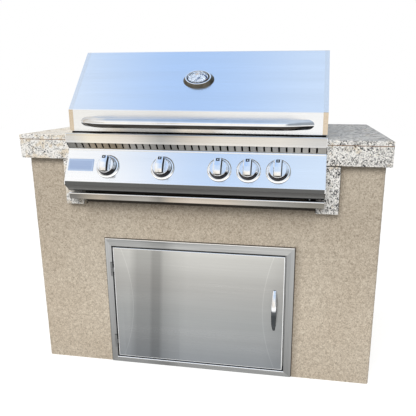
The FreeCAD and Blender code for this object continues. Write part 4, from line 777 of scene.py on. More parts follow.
# %% Coat on the other three walls
side_y = spaced([FRONT_COAT_END, flat_y], COARSE_PITCH)
back_x = spaced([-flat_x, *vent_hole[1], flat_x], COARSE_PITCH)[1:-1]
round_left = arc[1:] * [-1, 1]
left = np.concatenate([np.stack([np.full(len(side_y), -WALL_X), side_y], 1),
                       [-flat_x, flat_y] + CORNER_RADIUS * round_left])
left_out = np.concatenate([np.tile([-1.0, 0.0], (len(side_y), 1)), round_left])
plan = np.concatenate([left, np.stack([back_x, np.full(len(back_x), WALL_Y)], 1), mirrored(left)])
outward = np.concatenate([left_out, np.tile([0.0, 1.0], (len(back_x), 1)), mirrored(left_out)])
heights = spaced([0, *vent_hole[2], APRON_TOP], COARSE_PITCH)
piece("stucco_wall_coat", [coat(plan, outward, heights, WALL_THICKNESS, [vent_hole])], [stucco],
      "island", ["stucco_walls"])

# %% [markdown]
# ## Granite strips
# The strips under the slab and beside the grill are sawn stone with eased edges, 2 mm, that catch a thin line of
# light. A section is carried along the outline of the counter, from the grill round the back and to the grill
# again. Each station has a point on the outside and one on the inside, and the section mixes the two.

# %% Strips under the slab's edge
STONE_X, STONE_Y = 610.0, 366.0


def round_counter(x, y, radius):
    """The counter's outline from the grill's left side round the back to its right side."""
    corners = [(GRILL_X[0], -y), (-x, -y), (-x, y), (x, y), (x, -y), (GRILL_X[1], -y)]
    return eased(corners, [0, radius, radius, radius, radius, 0])


share, lower = eased([(0, APRON_TOP), (0, JAMB_Z[1]), (1, JAMB_Z[1]), (1, APRON_TOP)], [0.0, 2.0, 0.0, 0.0]).T
strip = (round_counter(STONE_X, STONE_Y, 1.5)[:, None] * (1 - share)[:, None]
         + round_counter(WALL_X, WALL_Y, 0.5)[:, None] * share[:, None])
strip = np.concatenate([strip, np.broadcast_to(lower[:, None], strip.shape[:2] + (1,))], -1)
piece("granite_apron", [closed(strip)], [granite], "island", ["apron_front", "apron_walls"])


# %% Strips beside the grill
def eased_block(low, high, radius, steps=4):
    """Rounded box: the corner it belongs to, plus radius times a direction that sweeps the whole sphere."""
    low, high = np.asarray(low, float), np.asarray(high, float)
    tilt = np.concatenate([np.linspace(0, np.pi / 2, steps), np.linspace(np.pi / 2, np.pi, steps)])[:, None]
    turn = np.concatenate([np.linspace(q, q + 1, steps) * np.pi / 2 for q in range(4)])
    quadrant = np.repeat(np.arange(4), steps)[None]
    direction = np.stack(np.broadcast_arrays(np.sin(tilt) * np.cos(turn), np.sin(tilt) * np.sin(turn),
                                             np.cos(tilt)), -1)
    sides = np.stack(np.broadcast_arrays(np.array([1, -1, -1, 1.0])[quadrant], np.array([1, 1, -1, -1.0])[quadrant],
                                         np.repeat([1.0, -1.0], steps)[:, None]), -1)
    return closed((low + high) / 2 + sides * ((high - low) / 2 - radius) + radius * direction)


jambs = [eased_block((start, -STONE_Y, JAMB_Z[0]), (end, -WALL_Y, JAMB_Z[1]), 1.5)
         for start, end in ((JAMB_X[0], GRILL_X[0]), (GRILL_X[1], JAMB_X[1]))]
piece("granite_jambs", jambs, [granite], "island", ["jamb_strips"])

# %% [markdown]
# ## Tray front and rear vent
# The drip tray's front is a bar folded from thin sheet. Its upper front edge is a wide bend that mirrors the sky as
# a light line, and its foot is a tight one. The vent in the back wall is a pressed plate. Its louvres are ridges
# that rise from the plate and drop sharply, one below the other: a wave along the height that has a slow and a
# quick side.

# %% Tray front
TRAY_X, BEND_FROM = (-431, 411), 653.2
bar_section = eased([(-393, 635.4), (-393, 657), (-375, 657), (-375, 635.4)], [0.8, 4.5, 0.8, 0.8])
bar_points, bar_faces, _ = along_x(bar_section, *TRAY_X)
# The upper bend takes the brighter edge steel: its light line is partly real reflection, partly a painted highlight.
on_bend = (bar_points[bar_faces][..., 2].mean(1) > BEND_FROM).astype(int)
piece("tray_front_folded", [(bar_points, bar_faces, on_bend)], [tray_steel, edge_highlight_steel], "drip_tray",
      ["tray_front"])

# %% Rear vent with louvres
VENT_X, VENT_Z, LOUVRES_X, LOUVRES_Z = (150, 450), (55, 205), (170, 430), (70, 190)
LOUVRE_PITCH, LOUVRE_RISE, SLOW_SHARE, LOUVRE_END, PLATE_GAUGE, EASED_EDGE = 15, 5.0, 0.75, 6, 1.6, 1
side_stops = [VENT_X[0], VENT_X[0] + EASED_EDGE, *(LOUVRES_X[0] + step for step in (-2, 2, LOUVRE_END))]
stops_z = [VENT_Z[0], VENT_Z[0] + EASED_EDGE, *LOUVRES_Z, VENT_Z[1] - EASED_EDGE, VENT_Z[1]]
plate_x, plate_z = np.meshgrid(spaced(side_stops + [sum(VENT_X) - stop for stop in side_stops[::-1]], 12),
                               spaced(stops_z, 1.25))
phase = ((plate_z - LOUVRES_Z[0]) / LOUVRE_PITCH) % 1.0
louvre = np.where(phase < SLOW_SHARE, phase / SLOW_SHARE, (1 - phase) / (1 - SLOW_SHARE))
window = (((plate_x - LOUVRES_X[0]) / LOUVRE_END).clip(0, 1) * ((LOUVRES_X[1] - plate_x) / LOUVRE_END).clip(0, 1))
window *= (plate_z > LOUVRES_Z[0]) & (plate_z < LOUVRES_Z[1])
edge = np.minimum.reduce([plate_x - VENT_X[0], VENT_X[1] - plate_x, plate_z - VENT_Z[0], VENT_Z[1] - plate_z])
front_y = WALL_Y + 1.2 + 0.8 * edge.clip(0, 1) + LOUVRE_RISE * louvre * window
plate_front = np.stack([plate_x, front_y, plate_z], -1)
plate_back = np.stack([plate_x, np.maximum(front_y - PLATE_GAUGE, WALL_Y), plate_z], -1)
everywhere = np.ones(np.subtract(plate_x.shape, 1), bool)
piece("rear_vent_louvred", [skin(plate_front, plate_back, everywhere)], [vent_plate_steel], "island",
      ["rear_vent"])

# %% [markdown]
# ## Storage door: frame
# The frame is four folded strips of sheet, mitred at the corners and welded. Each has a wide flat flange that lies
# on the stucco, a rounded inner edge and a return that goes into the wall. The grain runs along each strip, so it
# turns by a right angle at the mitre. The edges that face up get the brighter edge steel as a painted highlight:
# the top strip's outer one and the bottom strip's inner one. Every station of the ring has its place on the
# doorway's edge, the width of the border there and the direction outwards. Beside the hinges the flange steps back
# to leave room.

# %% Frame of the door
DOOR_FACE = -345.0
left_x, right_x, low_z, high_z = -317.7, 299.7, 20.7, 456.9
BORDER = {"left": 22.3, "right": 26.3, "top": 27.7, "bottom": 20.7}
HINGE_NOTCHES, NOTCH_DEPTH = [(344.0, 396.2), (60.0, 112.2)], 6.0
# Stations run down the left side and back up the right: x, z, border up or down, depth of a notch.
left_stations = [(left_x, high_z, BORDER["top"], 0)]
for low, high in HINGE_NOTCHES:
    left_stations += [(left_x, high, 0, 0), (left_x, high, 0, NOTCH_DEPTH)]
    left_stations += [(left_x, low, 0, NOTCH_DEPTH), (left_x, low, 0, 0)]
left_stations += [(left_x, low_z, -BORDER["bottom"], 0)]
right_stations = [(right_x, low_z, -BORDER["bottom"], 0), (right_x, high_z, BORDER["top"], 0)]
stations = np.array(left_stations + right_stations, float)
bottom_strip, top_strip = len(left_stations) - 1, len(stations) - 1
reach = np.stack([np.where(stations[:, 0] < 0, -BORDER["left"], BORDER["right"]), stations[:, 2]], 1)
# The section: share of the border's width, mm further out, y. It runs from the outer edge to the return.
section = np.array([
    (1, 0, -341.0), (1, 0.0, -343.6), (1, -0.4, -344.6), (1, -1.4, -345.0), (1, -2.4, -345.0),
    (0, 2.8, -345.0), (0, 2.2, -345.0), (0, 1.2, -344.8), (0, 0.5, -344.3), (0, 0.1, -343.5), (0, 0, -342.6),
    (0, 0, -341.0), (0, 0, -319.0), (0, 1.5, -319.0), (0, 1.5, -341.0)])
outer_edge, inner_edge = slice(1, 4), slice(5, 10)
away = section[:, :1] * reach[:, None] + section[:, 1:2] * np.sign(reach)[:, None]
away[..., 0] -= stations[:, 3:] * ((section[:, 0] == 0) & (section[:, 2] < -341.5))
ring = np.stack([stations[:, :1] + away[..., 0], np.broadcast_to(section[:, 2], away.shape[:2]),
                 stations[:, 1:2] + away[..., 1]], -1)
ring_points, ring_faces, _ = patch(ring, round_rows=True, round_columns=True)
kinds = np.zeros(ring.shape[:2], int)
kinds[[bottom_strip, top_strip]] = 1
# Painted highlight: the top strip's outer edge and the bottom strip's inner edge take the brighter edge steel.
kinds[top_strip, outer_edge] = kinds[bottom_strip, inner_edge] = 2

# %% Stop inside the frame
# A stop of flat bar, welded inside the returns, is what the leaf's rim comes up against.
stop = np.array([(0, -324.6), (-14, -324.6), (-14, -323.1), (0, -323.1)])
corners = np.array([(left_x, high_z, -1, 1), (left_x, low_z, -1, -1), (right_x, low_z, 1, -1), (right_x, high_z, 1, 1)])
stop_ring = np.stack([corners[:, :1] + stop[:, 0] * corners[:, 2:3], np.broadcast_to(stop[:, 1], (4, 4)),
                      corners[:, 1:2] + stop[:, 0] * corners[:, 3:]], -1)
piece("door_frame_mitred", [(ring_points, ring_faces, kinds.ravel()),
                            patch(stop_ring, 0, round_rows=True, round_columns=True)],
      [frame_steel_upright, frame_steel, edge_highlight_steel], "island", ["door_frame"])

# %% [markdown]
# ## Storage door: leaf and handle
# The leaf is a shallow pan of 1.5 mm sheet. A press brake leaves its edges rounded by about 3 mm, and a flat pan
# this wide always bellies a little, which is what bends the reflections in it. The face is a grid with a soft
# belly; its rim is carried on round the bend and back. The handle is a chromed bow: an oval section that grows
# wider towards its middle, swept along an arc whose feet stand on the leaf.

# %% Leaf of the door
leaf = (-313.2, 295.2, 25.2, 452.4)
LEAF_COLUMNS, LEAF_ROWS = 62, 44
BEND_RADIUS, SHEET_GAUGE, LEAF_BACK = 3.0, 1.5, -326.5
BELLY, RIPPLE = 0.9, 0.35
inside_y = DOOR_FACE + SHEET_GAUGE + 1.4
u, v = np.meshgrid(np.linspace(0, 1, LEAF_COLUMNS), np.linspace(0, 1, LEAF_ROWS))
belly = BELLY * np.sin(np.pi * u) ** 0.5 * np.sin(np.pi * v) ** 0.5
ripple = RIPPLE * (np.sin(7.1 * u + 0.6) * np.sin(np.pi * v) * np.sin(np.pi * u))
flat = np.stack(np.meshgrid(np.linspace(leaf[0] + BEND_RADIUS, leaf[1] - BEND_RADIUS, LEAF_COLUMNS),
                            np.linspace(leaf[2] + BEND_RADIUS, leaf[3] - BEND_RADIUS, LEAF_ROWS)), -1)
leaf_face = np.stack([flat[..., 0], DOOR_FACE + belly + ripple, flat[..., 1]], -1)
edge = np.concatenate([flat[0], flat[1:, -1], flat[-1, ::-1][1:], flat[::-1, 0][1:-1]])
side = np.where(np.isclose(edge, flat[0, 0]), -1, np.where(np.isclose(edge, flat[-1, -1]), 1, 0))
bend_angle = np.linspace(0, np.pi / 2, 6)
bend = np.stack([BEND_RADIUS * np.sin(bend_angle), DOOR_FACE + BEND_RADIUS * (1 - np.cos(bend_angle))], 1)
profile = np.concatenate([bend, [(BEND_RADIUS, LEAF_BACK), (BEND_RADIUS - SHEET_GAUGE, LEAF_BACK),
                                 (BEND_RADIUS - SHEET_GAUGE, DOOR_FACE + BEND_RADIUS), (0.0, inside_y)]])
out, depth = profile.T[..., None]
rim = np.stack(np.broadcast_arrays(edge[:, 0] + side[:, 0] * out, depth, edge[:, 1] + side[:, 1] * out), -1)
inner_face = leaf_face.copy()
inner_face[..., 1] = inside_y
inner_face[1:-1, 1:-1, 1] += belly[1:-1, 1:-1]
# The rim takes the brighter edge steel: its light line is partly real reflection, partly a painted highlight.
leaf_parts = [patch(leaf_face), patch(rim, 1, round_columns=True), patch(inner_face)]
piece("door_leaf_pan", leaf_parts, [door_steel, edge_highlight_steel], "door", ["door_leaf"])

# %% Bow handle
PULL_X, PULL_LOW, PULL_HIGH, PULL_REACH, PULL_THICKNESS = 262.5, 179.0, 330.0, 30.0, 9.0
PULL_SUNK, SQUARENESS = 0.8, 0.8
half_length = (PULL_HIGH - PULL_LOW) / 2
bow_radius = (half_length**2 + PULL_REACH**2) / (2 * PULL_REACH)
t = np.linspace(-1, 1, 61)
angle = t * math.asin(half_length / bow_radius)
middle_radius = bow_radius - PULL_THICKNESS / 2
centre_y = DOOR_FACE - PULL_REACH + bow_radius
half_across = np.interp(t, [-1.0, -0.6, -0.16, 0.5, 1.0], [4.8, 7.8, 8.6, 8.2, 7.0])
half_deep = np.interp(t, [-1.0, -0.8, 0.0, 0.8, 1.0], [6.4, 4.6, 4.3, 4.6, 6.4])
theta = np.linspace(0, 2 * np.pi, 40, endpoint=False)
out = np.stack([np.zeros_like(angle), -np.cos(angle), np.sin(angle)], 1)
spine = np.stack([np.full_like(angle, PULL_X), centre_y - middle_radius * np.cos(angle),
                  (PULL_LOW + PULL_HIGH) / 2 + middle_radius * np.sin(angle)], 1)
circle = np.stack([np.cos(theta), np.sin(theta)], 1)
oval = np.sign(circle) * np.abs(circle) ** SQUARENESS
bow = (spine[:, None] + half_across[:, None, None] * oval[None, :, :1] * X_AXIS
       + half_deep[:, None, None] * oval[None, :, 1:] * out[:, None])
bow[..., 1] = np.minimum(bow[..., 1], DOOR_FACE + PULL_SUNK)
bow[..., 2] = np.clip(bow[..., 2], PULL_LOW, PULL_HIGH)
piece("door_bow_handle", [closed(bow)], [pull_chrome], "door", ["door_handle"])

# %% [markdown]
# ## Knobs and bezels
# Each knob is a die-cast disc, all chromed, with a skirt that widens towards the panel, a face that is a shallow
# dome and a raised grip across it. The grip is a bar that is cut by a cylinder, with steep cheeks and bevelled
# shoulders. A ridge runs across it, so the part above tips up and mirrors the sky, and the part below tips down and
# mirrors the ground. Its right shoulder mirrors the shade beside the house, which a plain studio lacks, so it gets a
# dark tone as painted shade, and so does the hub under the skirt. A filled plate near its upper end marks the
# setting. The bore behind is deep enough for the stem when the knob is pushed in. A turned bezel, a low dome with a
# hole, stands round each knob on the panel.

# %% Grip and mark of a knob
PANEL_OUT = np.array([0.0, -0.888713, 0.458463])
KNOB_AXIS = np.array([0.0, -396.56, 748.076])
KNOB_X = [-10 + share * 184.4 for share in (-1.5, -0.5, 0.5, 1.0, 1.5)]
GRIP_LENGTH, GRIP_LOW, GRIP_TOP = 26.6, 24.0, 43.8
RIDGE, RISE_BACK, FALL_FRONT, FALL_END = 0.08, 4.5, 2.0, 7.0
CHEEK, SHOULDER = 11.0, (9.5, 18.6)
METAL, MARK, PAINTED_SHADE, FACE, SKIRT = range(5)


def top_drop(s):
    """How far the grip's top falls: in proportion to the way past the ridge, and by a square near its lower end."""
    back, front, end = np.clip(s - RIDGE, 0, None), np.clip(RIDGE - s, 0, None), np.clip(-0.45 - s, 0, None)
    return RISE_BACK * back + FALL_FRONT * front + FALL_END * end**2


def grip(origin, section, stations=33, end_steps=6):
    """Bar cut by a cylinder: lengthwise = s * sqrt(length^2 - across^2). Its top falls to both ends by top_drop."""
    middle = np.array([0.0, section[:, 1].mean()])
    growing = np.linspace(0.02, 0.98, end_steps)
    shrink = np.concatenate([growing, np.ones(stations), growing[::-1]])
    s = np.concatenate([np.full(end_steps, -1.0), np.linspace(-1, 1, stations), np.full(end_steps, 1.0)])[:, None]
    across, height = np.moveaxis(middle + (section - middle) * shrink[:, None, None], -1, 0)
    lengthwise = s * np.sqrt(GRIP_LENGTH**2 - across**2)
    lift = GRIP_LOW + height - top_drop(s) * height / section[:, 1].max()
    points, faces, _ = closed(placed(origin, PANEL_OUT, across, lengthwise, lift))
    half_way = (section + np.roll(section, -1, 0)) / 2
    # Painted shade: faces of the right shoulder take the dark side material.
    shaded = (half_way[:, 0] > CHEEK) & (half_way[:, 1] > SHOULDER[0]) & (half_way[:, 1] < SHOULDER[1])
    return points, faces, np.tile(np.where(shaded, PAINTED_SHADE, METAL), len(faces) // len(section))


def mark_plate(origin, half_width, half_height, top, number, place=20.8):
    """Small eased plate on the grip's upper part, parallel to its slope, with its middle at a height over the disc."""
    across, along_grip = rectangle(half_width, half_height, 0.8).T
    size, height = np.array([(1.0, top - 1.0), (1.0, top - 0.05), (0.94, top), (0.0, top)]).T[..., None]
    upward = place + size * along_grip
    lift = height - RISE_BACK * (place / GRIP_LENGTH - RIDGE) - RISE_BACK / GRIP_LENGTH * (upward - place)
    return closed(placed(origin, PANEL_OUT, size * across, upward, lift), number)


# %% Five knobs
# Profiles of the disc: (radius, height over the panel's plane), from the bore out over the foot to the face.
hub = [(0, 22.2), (4.05, 22.2), (4.05, 5), (9, 5), (9, 21), (22, 21), (22, 5), (28.2, 5), (28.4, 5.6), (28.4, 10.8)]
skirt = [(28.4, 10.8), (31.0, 10.8), (31.4, 11.2), (31.3, 12.0), (26.9, 23.4)]
face = [(26.9, 23.4), (26.6, 24.2), (25.9, 24.6), (25.0, 24.5), (12.0, 26.2), (0, 26.6)]
grip_section = eased([(-13.8, 0), (13.8, 0), (13.6, 9.0), (13.4, 14.0), (10.6, 19.4), (-10.6, 19.4), (-13.4, 14.0),
                      (-13.6, 9.0)], [0, 0, 0.3, 1.0, 1.2, 1.2, 1.0, 0.3])
for number, x in enumerate(KNOB_X, 1):
    origin = KNOB_AXIS + x * X_AXIS
    # The hub takes the dark side material as painted shade; the skirt's lower edge has a painted dark reflection.
    parts = [turned(profile, origin, PANEL_OUT, number=kind)
             for profile, kind in ((hub, PAINTED_SHADE), (skirt, SKIRT), (face, FACE))]
    parts += [grip(origin, grip_section), mark_plate(origin, 5.8, 4.6, GRIP_TOP, MARK),
              mark_plate(origin, 1.8, 1.5, GRIP_TOP + 0.1, METAL)]
    piece(f"knob_{number}_turned", parts,
          [knob_chrome, slot_paint, knob_shade_chrome, knob_face_chrome, knob_skirt_chrome],
          f"knob_{number}", [f"knob_{number}"])

# %% Bezels
bezel = eased([(7.1, 0), (39.5, 0), (38.9, 2.8), (36.2, 6.0), (32.4, 7), (29.4, 6.2), (29.0, 1.0), (7.1, 1.0)],
              [0, 0.3, 1.2, 1.6, 1.4, 0.7, 0.3, 0])
piece("bezels_turned", [turned(bezel, KNOB_AXIS + x * X_AXIS, PANEL_OUT) for x in KNOB_X], [bezel_chrome], "island",
      ["knob_bezels"])

# %% [markdown]
# ## Hem of the panel, and edges round the gap under the hood
# The panel's sheet starts at the foot of the vent strip with a flat hem, a fold 1.7 mm high and 6 mm wide. Its
# slope is steeper than the panel, so it mirrors the bright horizon as a thin white line, made brighter by the edge
# steel, partly a painted highlight. The bright rail and the hood's band are folded from sheet too, and only a thin
# dark gap is left between them. The rail's upper front edge is a round nose that mirrors the sky, and at its foot a
# return 3 mm deep hangs in front of the vent strip. The band ends in a rolled hem. Two near black strips, painted
# shade, close the corners beside the fire box, so the gap stays dark up to the hood's ends. All are small sections
# that are carried straight along X.

# %% Hem, nose, foot, rolled hem and corner strips
RAIL_X, HEM_X, BAND_X, GAP_ENDS = (-428.8, 408.8), (-428.5, 408.5), (-416, 396), ((-428, -350), (330, 408))
hem_top = np.array([0.0, -369.0, 801.3])
down, raised = np.array([(-0.9, -0.4), (-0.9, 0.4), (-0.2, 1.5), (0.6, 1.7), (5.2, 0.15), (5.2, -0.4)]).T
hem_section = placed(hem_top, PANEL_OUT, 0.0, -down, raised)[:, 1:]
piece("panel_hem_folded", [along_x(hem_section, *HEM_X)], [edge_highlight_steel], "island")
nose = eased([(-389.4, 845), (-389.4, 854.2), (-380.5, 854.2), (-377, 852.5), (-377, 845)], [0, 4.4, 2.5, 0.5, 0])
foot = eased([(-389.4, 822.6), (-389.4, 831), (-386.2, 831), (-386.2, 822.6)], [0.6, 0, 0, 0.6])
piece("rail_edges_folded", [along_x(nose, *RAIL_X), along_x(foot, *RAIL_X)], [rail_steel], "island")
hem_roll = eased([(-353.9, 857.4), (-353.9, 862), (-352.2, 862), (-352.2, 857.4)], [0.7, 0.2, 0, 0.7])
piece("hood_hem_rolled", [along_x(hem_roll, *BAND_X)], [hood_steel], "hood")
closing = [(-346.0, 846.8), (-346.0, 857.0), (-344.8, 857.0), (-344.8, 846.8)]
piece("gap_corner_strips", [along_x(closing, *ends, 4) for ends in GAP_ENDS], [soot_and_shade_steel], "island")

# %% [markdown]
# ## Name plate
# At the panel's left end sits a thin plate. The real one has a satin border round an etched field. This one keeps
# both and is left bare: a rounded rectangle is drawn in to a smaller one, step by step, each with its own height.

# %% Bare plate with a border
PLATE_MIDDLE, PLATE_HALF, FIELD_HEIGHT = np.array([-380.5, -394.98, 751.10]), np.array([43.5, 20.5]), 1.1
plate_rows = [(0.0, 0.0), (0.0, 1.1), (0.5, 1.5), (5.2, 1.5), (5.7, 1.1), (5.9, 1.1), (20.0, FIELD_HEIGHT)]
loops = []
for inset, height in plate_rows:
    rim = rectangle(*(PLATE_HALF - inset), max(2.0 - inset / 4, 0.3))
    loops.append(placed(PLATE_MIDDLE, PANEL_OUT, *rim.T, height))
under, over = (placed(PLATE_MIDDLE, PANEL_OUT, *(0 * rim.T), height) for height in (0.0, FIELD_HEIGHT))
plate_border = patch(np.stack([under] + loops[:-1]), round_columns=True)
plate_field = patch(np.stack(loops[-2:] + [over]), 1, round_columns=True)
piece("name_plate_bordered", [plate_border, plate_field], [plate_steel, field_steel], "island",
      ["name_plate"])

# %% [markdown]
# ## Hood handle
# The handle is a polished tube, 32 mm thick, bent back at both ends to meet the hood. A circle is swept along its
# centre line, which is a straight run with an eased bend at each end. The last ring is slid along the tube until
# it lies just inside the hood's face, as a tube that is cut to fit.

# %% Hood handle
GRILL_MIDDLE, HANDLE_Z, HANDLE_RADIUS, BAND_FRONT, HANDLE_SUNK = -10.0, 888.6, 15.9, -353.4, 1.2
BEND_X, HANDLE_FRONT, BEND_RUN, BEND_STEPS = 298.5, -398.4, 56.0, 17
half_line = eased([(0, HANDLE_FRONT), (BEND_X, HANDLE_FRONT), (BEND_X + BEND_RUN, BAND_FRONT)], [0, 32, 0], BEND_STEPS)
half_line = half_line[np.r_[0, BEND_STEPS:2 * BEND_STEPS, 3 * BEND_STEPS - 1]]
centre_line = np.concatenate([half_line[::-1] * [-1, 1], half_line[1:]])
heading = np.gradient(centre_line, axis=0)
heading /= np.linalg.norm(heading, axis=1, keepdims=True)
heading[0], heading[-1] = heading[1], heading[-2]
theta = np.linspace(0, 2 * np.pi, 48, endpoint=False)[None, :, None]
sideways = np.stack([heading[:, 1], -heading[:, 0], np.zeros(len(heading))], 1)
centre = np.concatenate([centre_line + [GRILL_MIDDLE, 0], np.full((len(centre_line), 1), HANDLE_Z)], 1)
tube = centre[:, None] + HANDLE_RADIUS * (np.cos(theta) * sideways[:, None] + np.sin(theta) * [0, 0, 1.0])
for end in (0, -1):
    direction = np.append(heading[end], 0)
    tube[end] += (BAND_FRONT + HANDLE_SUNK - tube[end, :, 1])[:, None] / direction[1] * direction
piece("hood_handle_tube", [closed(tube)], [tube_steel], "hood", ["hood_handle"])

# %% [markdown]
# ## Thermometer
# The gauge is a spun oval case with a thin flange on the hood, a dull conical side painted dark as shade, a bright
# rolled rim and an enamelled cup. A black seal lies inside the rim, made wider on one side as painted shade. The
# dial has coloured ranges and ticks. Ink has no thickness to speak of, so each printed mark is a flat ring piece,
# 0.03 mm thick, that lies over the enamel.

# %% Case of the gauge
GAUGE, GAUGE_OUT = np.array([-10.0, -267.0, 1022.2]), np.array([0.0, -0.742262, 0.670110])
ASPECT, ROUND_STEPS = 0.7, 96
SEAL_SHIFT, SEAL_SHIFT_ANGLE = 3.4, math.radians(150)
PRINT_HEIGHT, INK = 6.84, 0.03
probe = eased([(0, -70), (3, -70), (3, 0.5), (0, 0.5)], [0, 1.5, 0, 0])
cone = eased([(2.4, 0), (52, 0), (52, 1.2), (50.6, 2), (43.2, 13.2)], [0, 0, 0.5, 0.6, 0])
gauge_rim = eased([(43.2, 13.2), (42.4, 14), (39.6, 14), (38.7, 13.4)], [0, 0.7, 0.4, 0])
cup = [(38.7, 13.4), (38.5, 6), (2.4, 6), (2.4, 0)]
case_parts = [turned(probe, GAUGE, GAUGE_OUT, 24)]
case_parts += [turned(profile, GAUGE, GAUGE_OUT, ROUND_STEPS, number, ASPECT)
               for profile, number in ((cone, 2), (gauge_rim, 1), (cup, 3))]
piece("thermometer_case_spun", case_parts, [chrome, bezel_chrome, gauge_side, dial_enamel], "hood",
      ["thermometer_case"])


# %% Seal and print
def on_gauge(angle, radius, height):
    """Points clockwise from the gauge's top: radius * sin across, aspect * radius * cos upward."""
    return placed(GAUGE, GAUGE_OUT, radius * np.sin(angle), ASPECT * radius * np.cos(angle), height)


def ring_piece(inner, outer, start, end, number):
    """Flat piece of an oval ring between two radii and two angles in degrees, as thick as the ink."""
    angle = np.radians(np.linspace(start, end, max(2, int(abs(end - start) / 4) + 2)))[:, None]
    lift = PRINT_HEIGHT + INK * np.array([0, 0, 1, 1])
    return closed(on_gauge(angle, np.array([inner, outer, outer, inner]), lift), number)


angle = np.linspace(0, 2 * np.pi, ROUND_STEPS, endpoint=False)[:, None]
seal_radius, seal_height = np.array([(38.7, 13.0), (38.7, 13.5), (35.0, 13.5), (35.0, 13.0)]).T
# Painted shade: the seal is wider on one side.
wider = SEAL_SHIFT * np.cos(angle - SEAL_SHIFT_ANGLE) * (seal_radius < 37)
piece("thermometer_seal", [patch(on_gauge(angle, seal_radius - wider, seal_height), 0, True, True)],
      [magnet_plastic], "hood")
print_parts = [ring_piece(25.0, 30.0, start, end, number) for start, end, number in
               ((-30, -4, 2), (2, 92, 1), (94, 124, 3))]
print_parts += [ring_piece(32.8 - 2.2 * (i % 3 == 0), 36.0, tick - 0.55, tick + 0.55, 0)
                for i, tick in enumerate(np.linspace(-135, 135, 28))]
print_parts += [ring_piece(36.4, 37.0, -180, 180, 0)]
piece("thermometer_print", print_parts, [black_ink, blue_ink, tan_ink, brown_ink], "hood")

# %% [markdown]
# ## Studio
# The floor is a pale sheet. For the camera and in reflections it also glows a little, so that it is white where
# nothing shades it, and the shadow of the island stays. The sky is white near the horizon and pale blue overhead:
# the hood's slope mirrors that blue, the upright faces mirror the white. Matt surfaces are lit by plain neutral
# light, a little brighter from above, and one large soft lamp gives the shadows under the edges their direction.

# %% Floor
FLOOR_HALF, FLOOR_GLOW = 9.0, 0.72
paper = plain_coat("studio_floor_paper", "#A6A6A5", "#ADADAC", 0.9, 1000 / 3)
tree = paper.node_tree
rays = add(tree, "LightPath").outputs
seen = add(tree, "Math", [rays["Is Camera Ray"], rays["Is Glossy Ray"]], operation="MAXIMUM")
seen = add(tree, "Math", [seen, rays["Is Transmission Ray"]], operation="MAXIMUM")
glow = add(tree, "Math", [seen, FLOOR_GLOW], operation="MULTIPLY")
feed(tree, tree.nodes["Principled BSDF"], {"Emission Color": "#FFFFFF", "Emission Strength": glow})
mesh = bpy.data.meshes.new("studio_floor")
mesh.from_pydata([(FLOOR_HALF * x, FLOOR_HALF * y, 0) for x, y in ((-1, -1), (1, -1), (1, 1), (-1, 1))], [],
                 [(0, 1, 2, 3)])
mesh.materials.append(paper)
floor = bpy.data.objects.new("studio_floor", mesh)
bpy.context.scene.collection.objects.link(floor)
print("floor:", 2 * FLOOR_HALF, "metres square")

# %% [markdown]
# ## Sky
# The sky is drawn by direction: X runs from left to right, Y to the back and Z up. Blue deepens to the left and
# fades to white low down. Near the ground warm and grey patches stand for walls and paving, and a grey hedge stands
# to the right and behind. Only glossy and transmitted rays see all this; the camera sees white.

# %% Sky
DEEP_BLUE = [(0.22, 0.0), (0.36, 1.0), (0.42, 0.9), (0.5, 0.38), (0.7, 0.2)]
PATCHES = [(0.225, "#DAD6D0"), (0.265, "#F9F1E2"), (0.30, "#F7F2EA"), (0.335, "#EEE9E1"), (0.35, "#D0CCC6"),
           (0.368, "#E8E1D5"), (0.40, "#FBF4E9"), (0.475, "#FFFBF4"), (0.55, "#FBF8F3")]
HEDGE_SHARE = 0.85

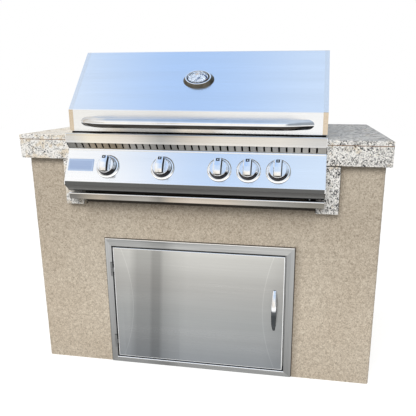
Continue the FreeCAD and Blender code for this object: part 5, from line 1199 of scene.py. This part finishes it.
world = bpy.data.worlds.new("studio_sky")
world.use_nodes = True
tree = world.node_tree
tree.nodes.clear()
side_on, deep_in, aloft = add(tree, "SeparateXYZ", [add(tree, "TexCoord").outputs["Generated"]]).outputs
from_left = add(tree, "MapRange", [side_on, -1, 1])
deep = add(tree, "ValToRGB", [from_left], stops=DEEP_BLUE)
depth = add(tree, "Math", [deep, add(tree, "MapRange", [aloft, 0.35, 0.95, 0.45])], operation="MULTIPLY")
blue = add(tree, "Mix", [depth, "#E2F0FF", "#B0CFFA"], data_type="RGBA")
left_low = add(tree, "Math", [add(tree, "MapRange", [side_on, -0.43, -0.22, 1, 0]),
                              add(tree, "MapRange", [aloft, 0.65, 0.92, 1, 0])], operation="MULTIPLY")
white = add(tree, "Math", [add(tree, "MapRange", [aloft, 0.35, 0.6, 1, 0]), left_low], operation="MAXIMUM")
bright = add(tree, "Mix", [white, blue, "#FFFFFF"], data_type="RGBA")
patches = add(tree, "ValToRGB", [from_left], stops=PATCHES)
near_ground = add(tree, "MapRange", [aloft, 0.18, 0.5, 1, 0])
open_air = add(tree, "Mix", [near_ground, bright, patches], data_type="RGBA")
hedge = add(tree, "Math", [add(tree, "MapRange", [deep_in, 0.5, 0.8]),
                           add(tree, "MapRange", [side_on, -0.35, -0.1])], operation="MULTIPLY")
hedge = add(tree, "Math", [add(tree, "MapRange", [side_on, 0.42, 0.6]), hedge], operation="MAXIMUM")
hedge = add(tree, "Math", [hedge, add(tree, "MapRange", [aloft, 0.75, 0.5])], operation="MULTIPLY")
hedge = add(tree, "Math", [hedge, HEDGE_SHARE], operation="MULTIPLY")
mirrored_air = add(tree, "Mix", [hedge, open_air, "#7D8894"], data_type="RGBA")
plain = add(tree, "MapRange", [aloft, -0.2, 1.0, 0.20, 0.95])
rays = add(tree, "LightPath").outputs
shiny = add(tree, "Math", [rays["Is Glossy Ray"], rays["Is Transmission Ray"]], operation="MAXIMUM")
light = add(tree, "Mix", [shiny, plain, mirrored_air], data_type="RGBA")
light = add(tree, "Mix", [rays["Is Camera Ray"], light, "#FFFFFF"], data_type="RGBA")
add(tree, "OutputWorld", {"Surface": add(tree, "Background", {"Color": light, "Strength": 1.0})})
bpy.context.scene.world = world
print("sky:", len(tree.nodes), "nodes")

# %% Lamp
lamp = bpy.data.lights.new("soft_box", "AREA")
lamp.shape = "RECTANGLE"
lamp.size, lamp.size_y = 2.6, 1.4
lamp.energy = 84.0
soft_box = bpy.data.objects.new("soft_box", lamp)
soft_box.location = (-0.3, -3.0, 2.7)
soft_box.rotation_euler = (math.radians(53), 0, math.radians(-5))
bpy.context.scene.collection.objects.link(soft_box)
soft_box.visible_glossy = False
print("lamp:", lamp.energy, "W from", round(lamp.size, 2), "by", round(lamp.size_y, 2), "metres")
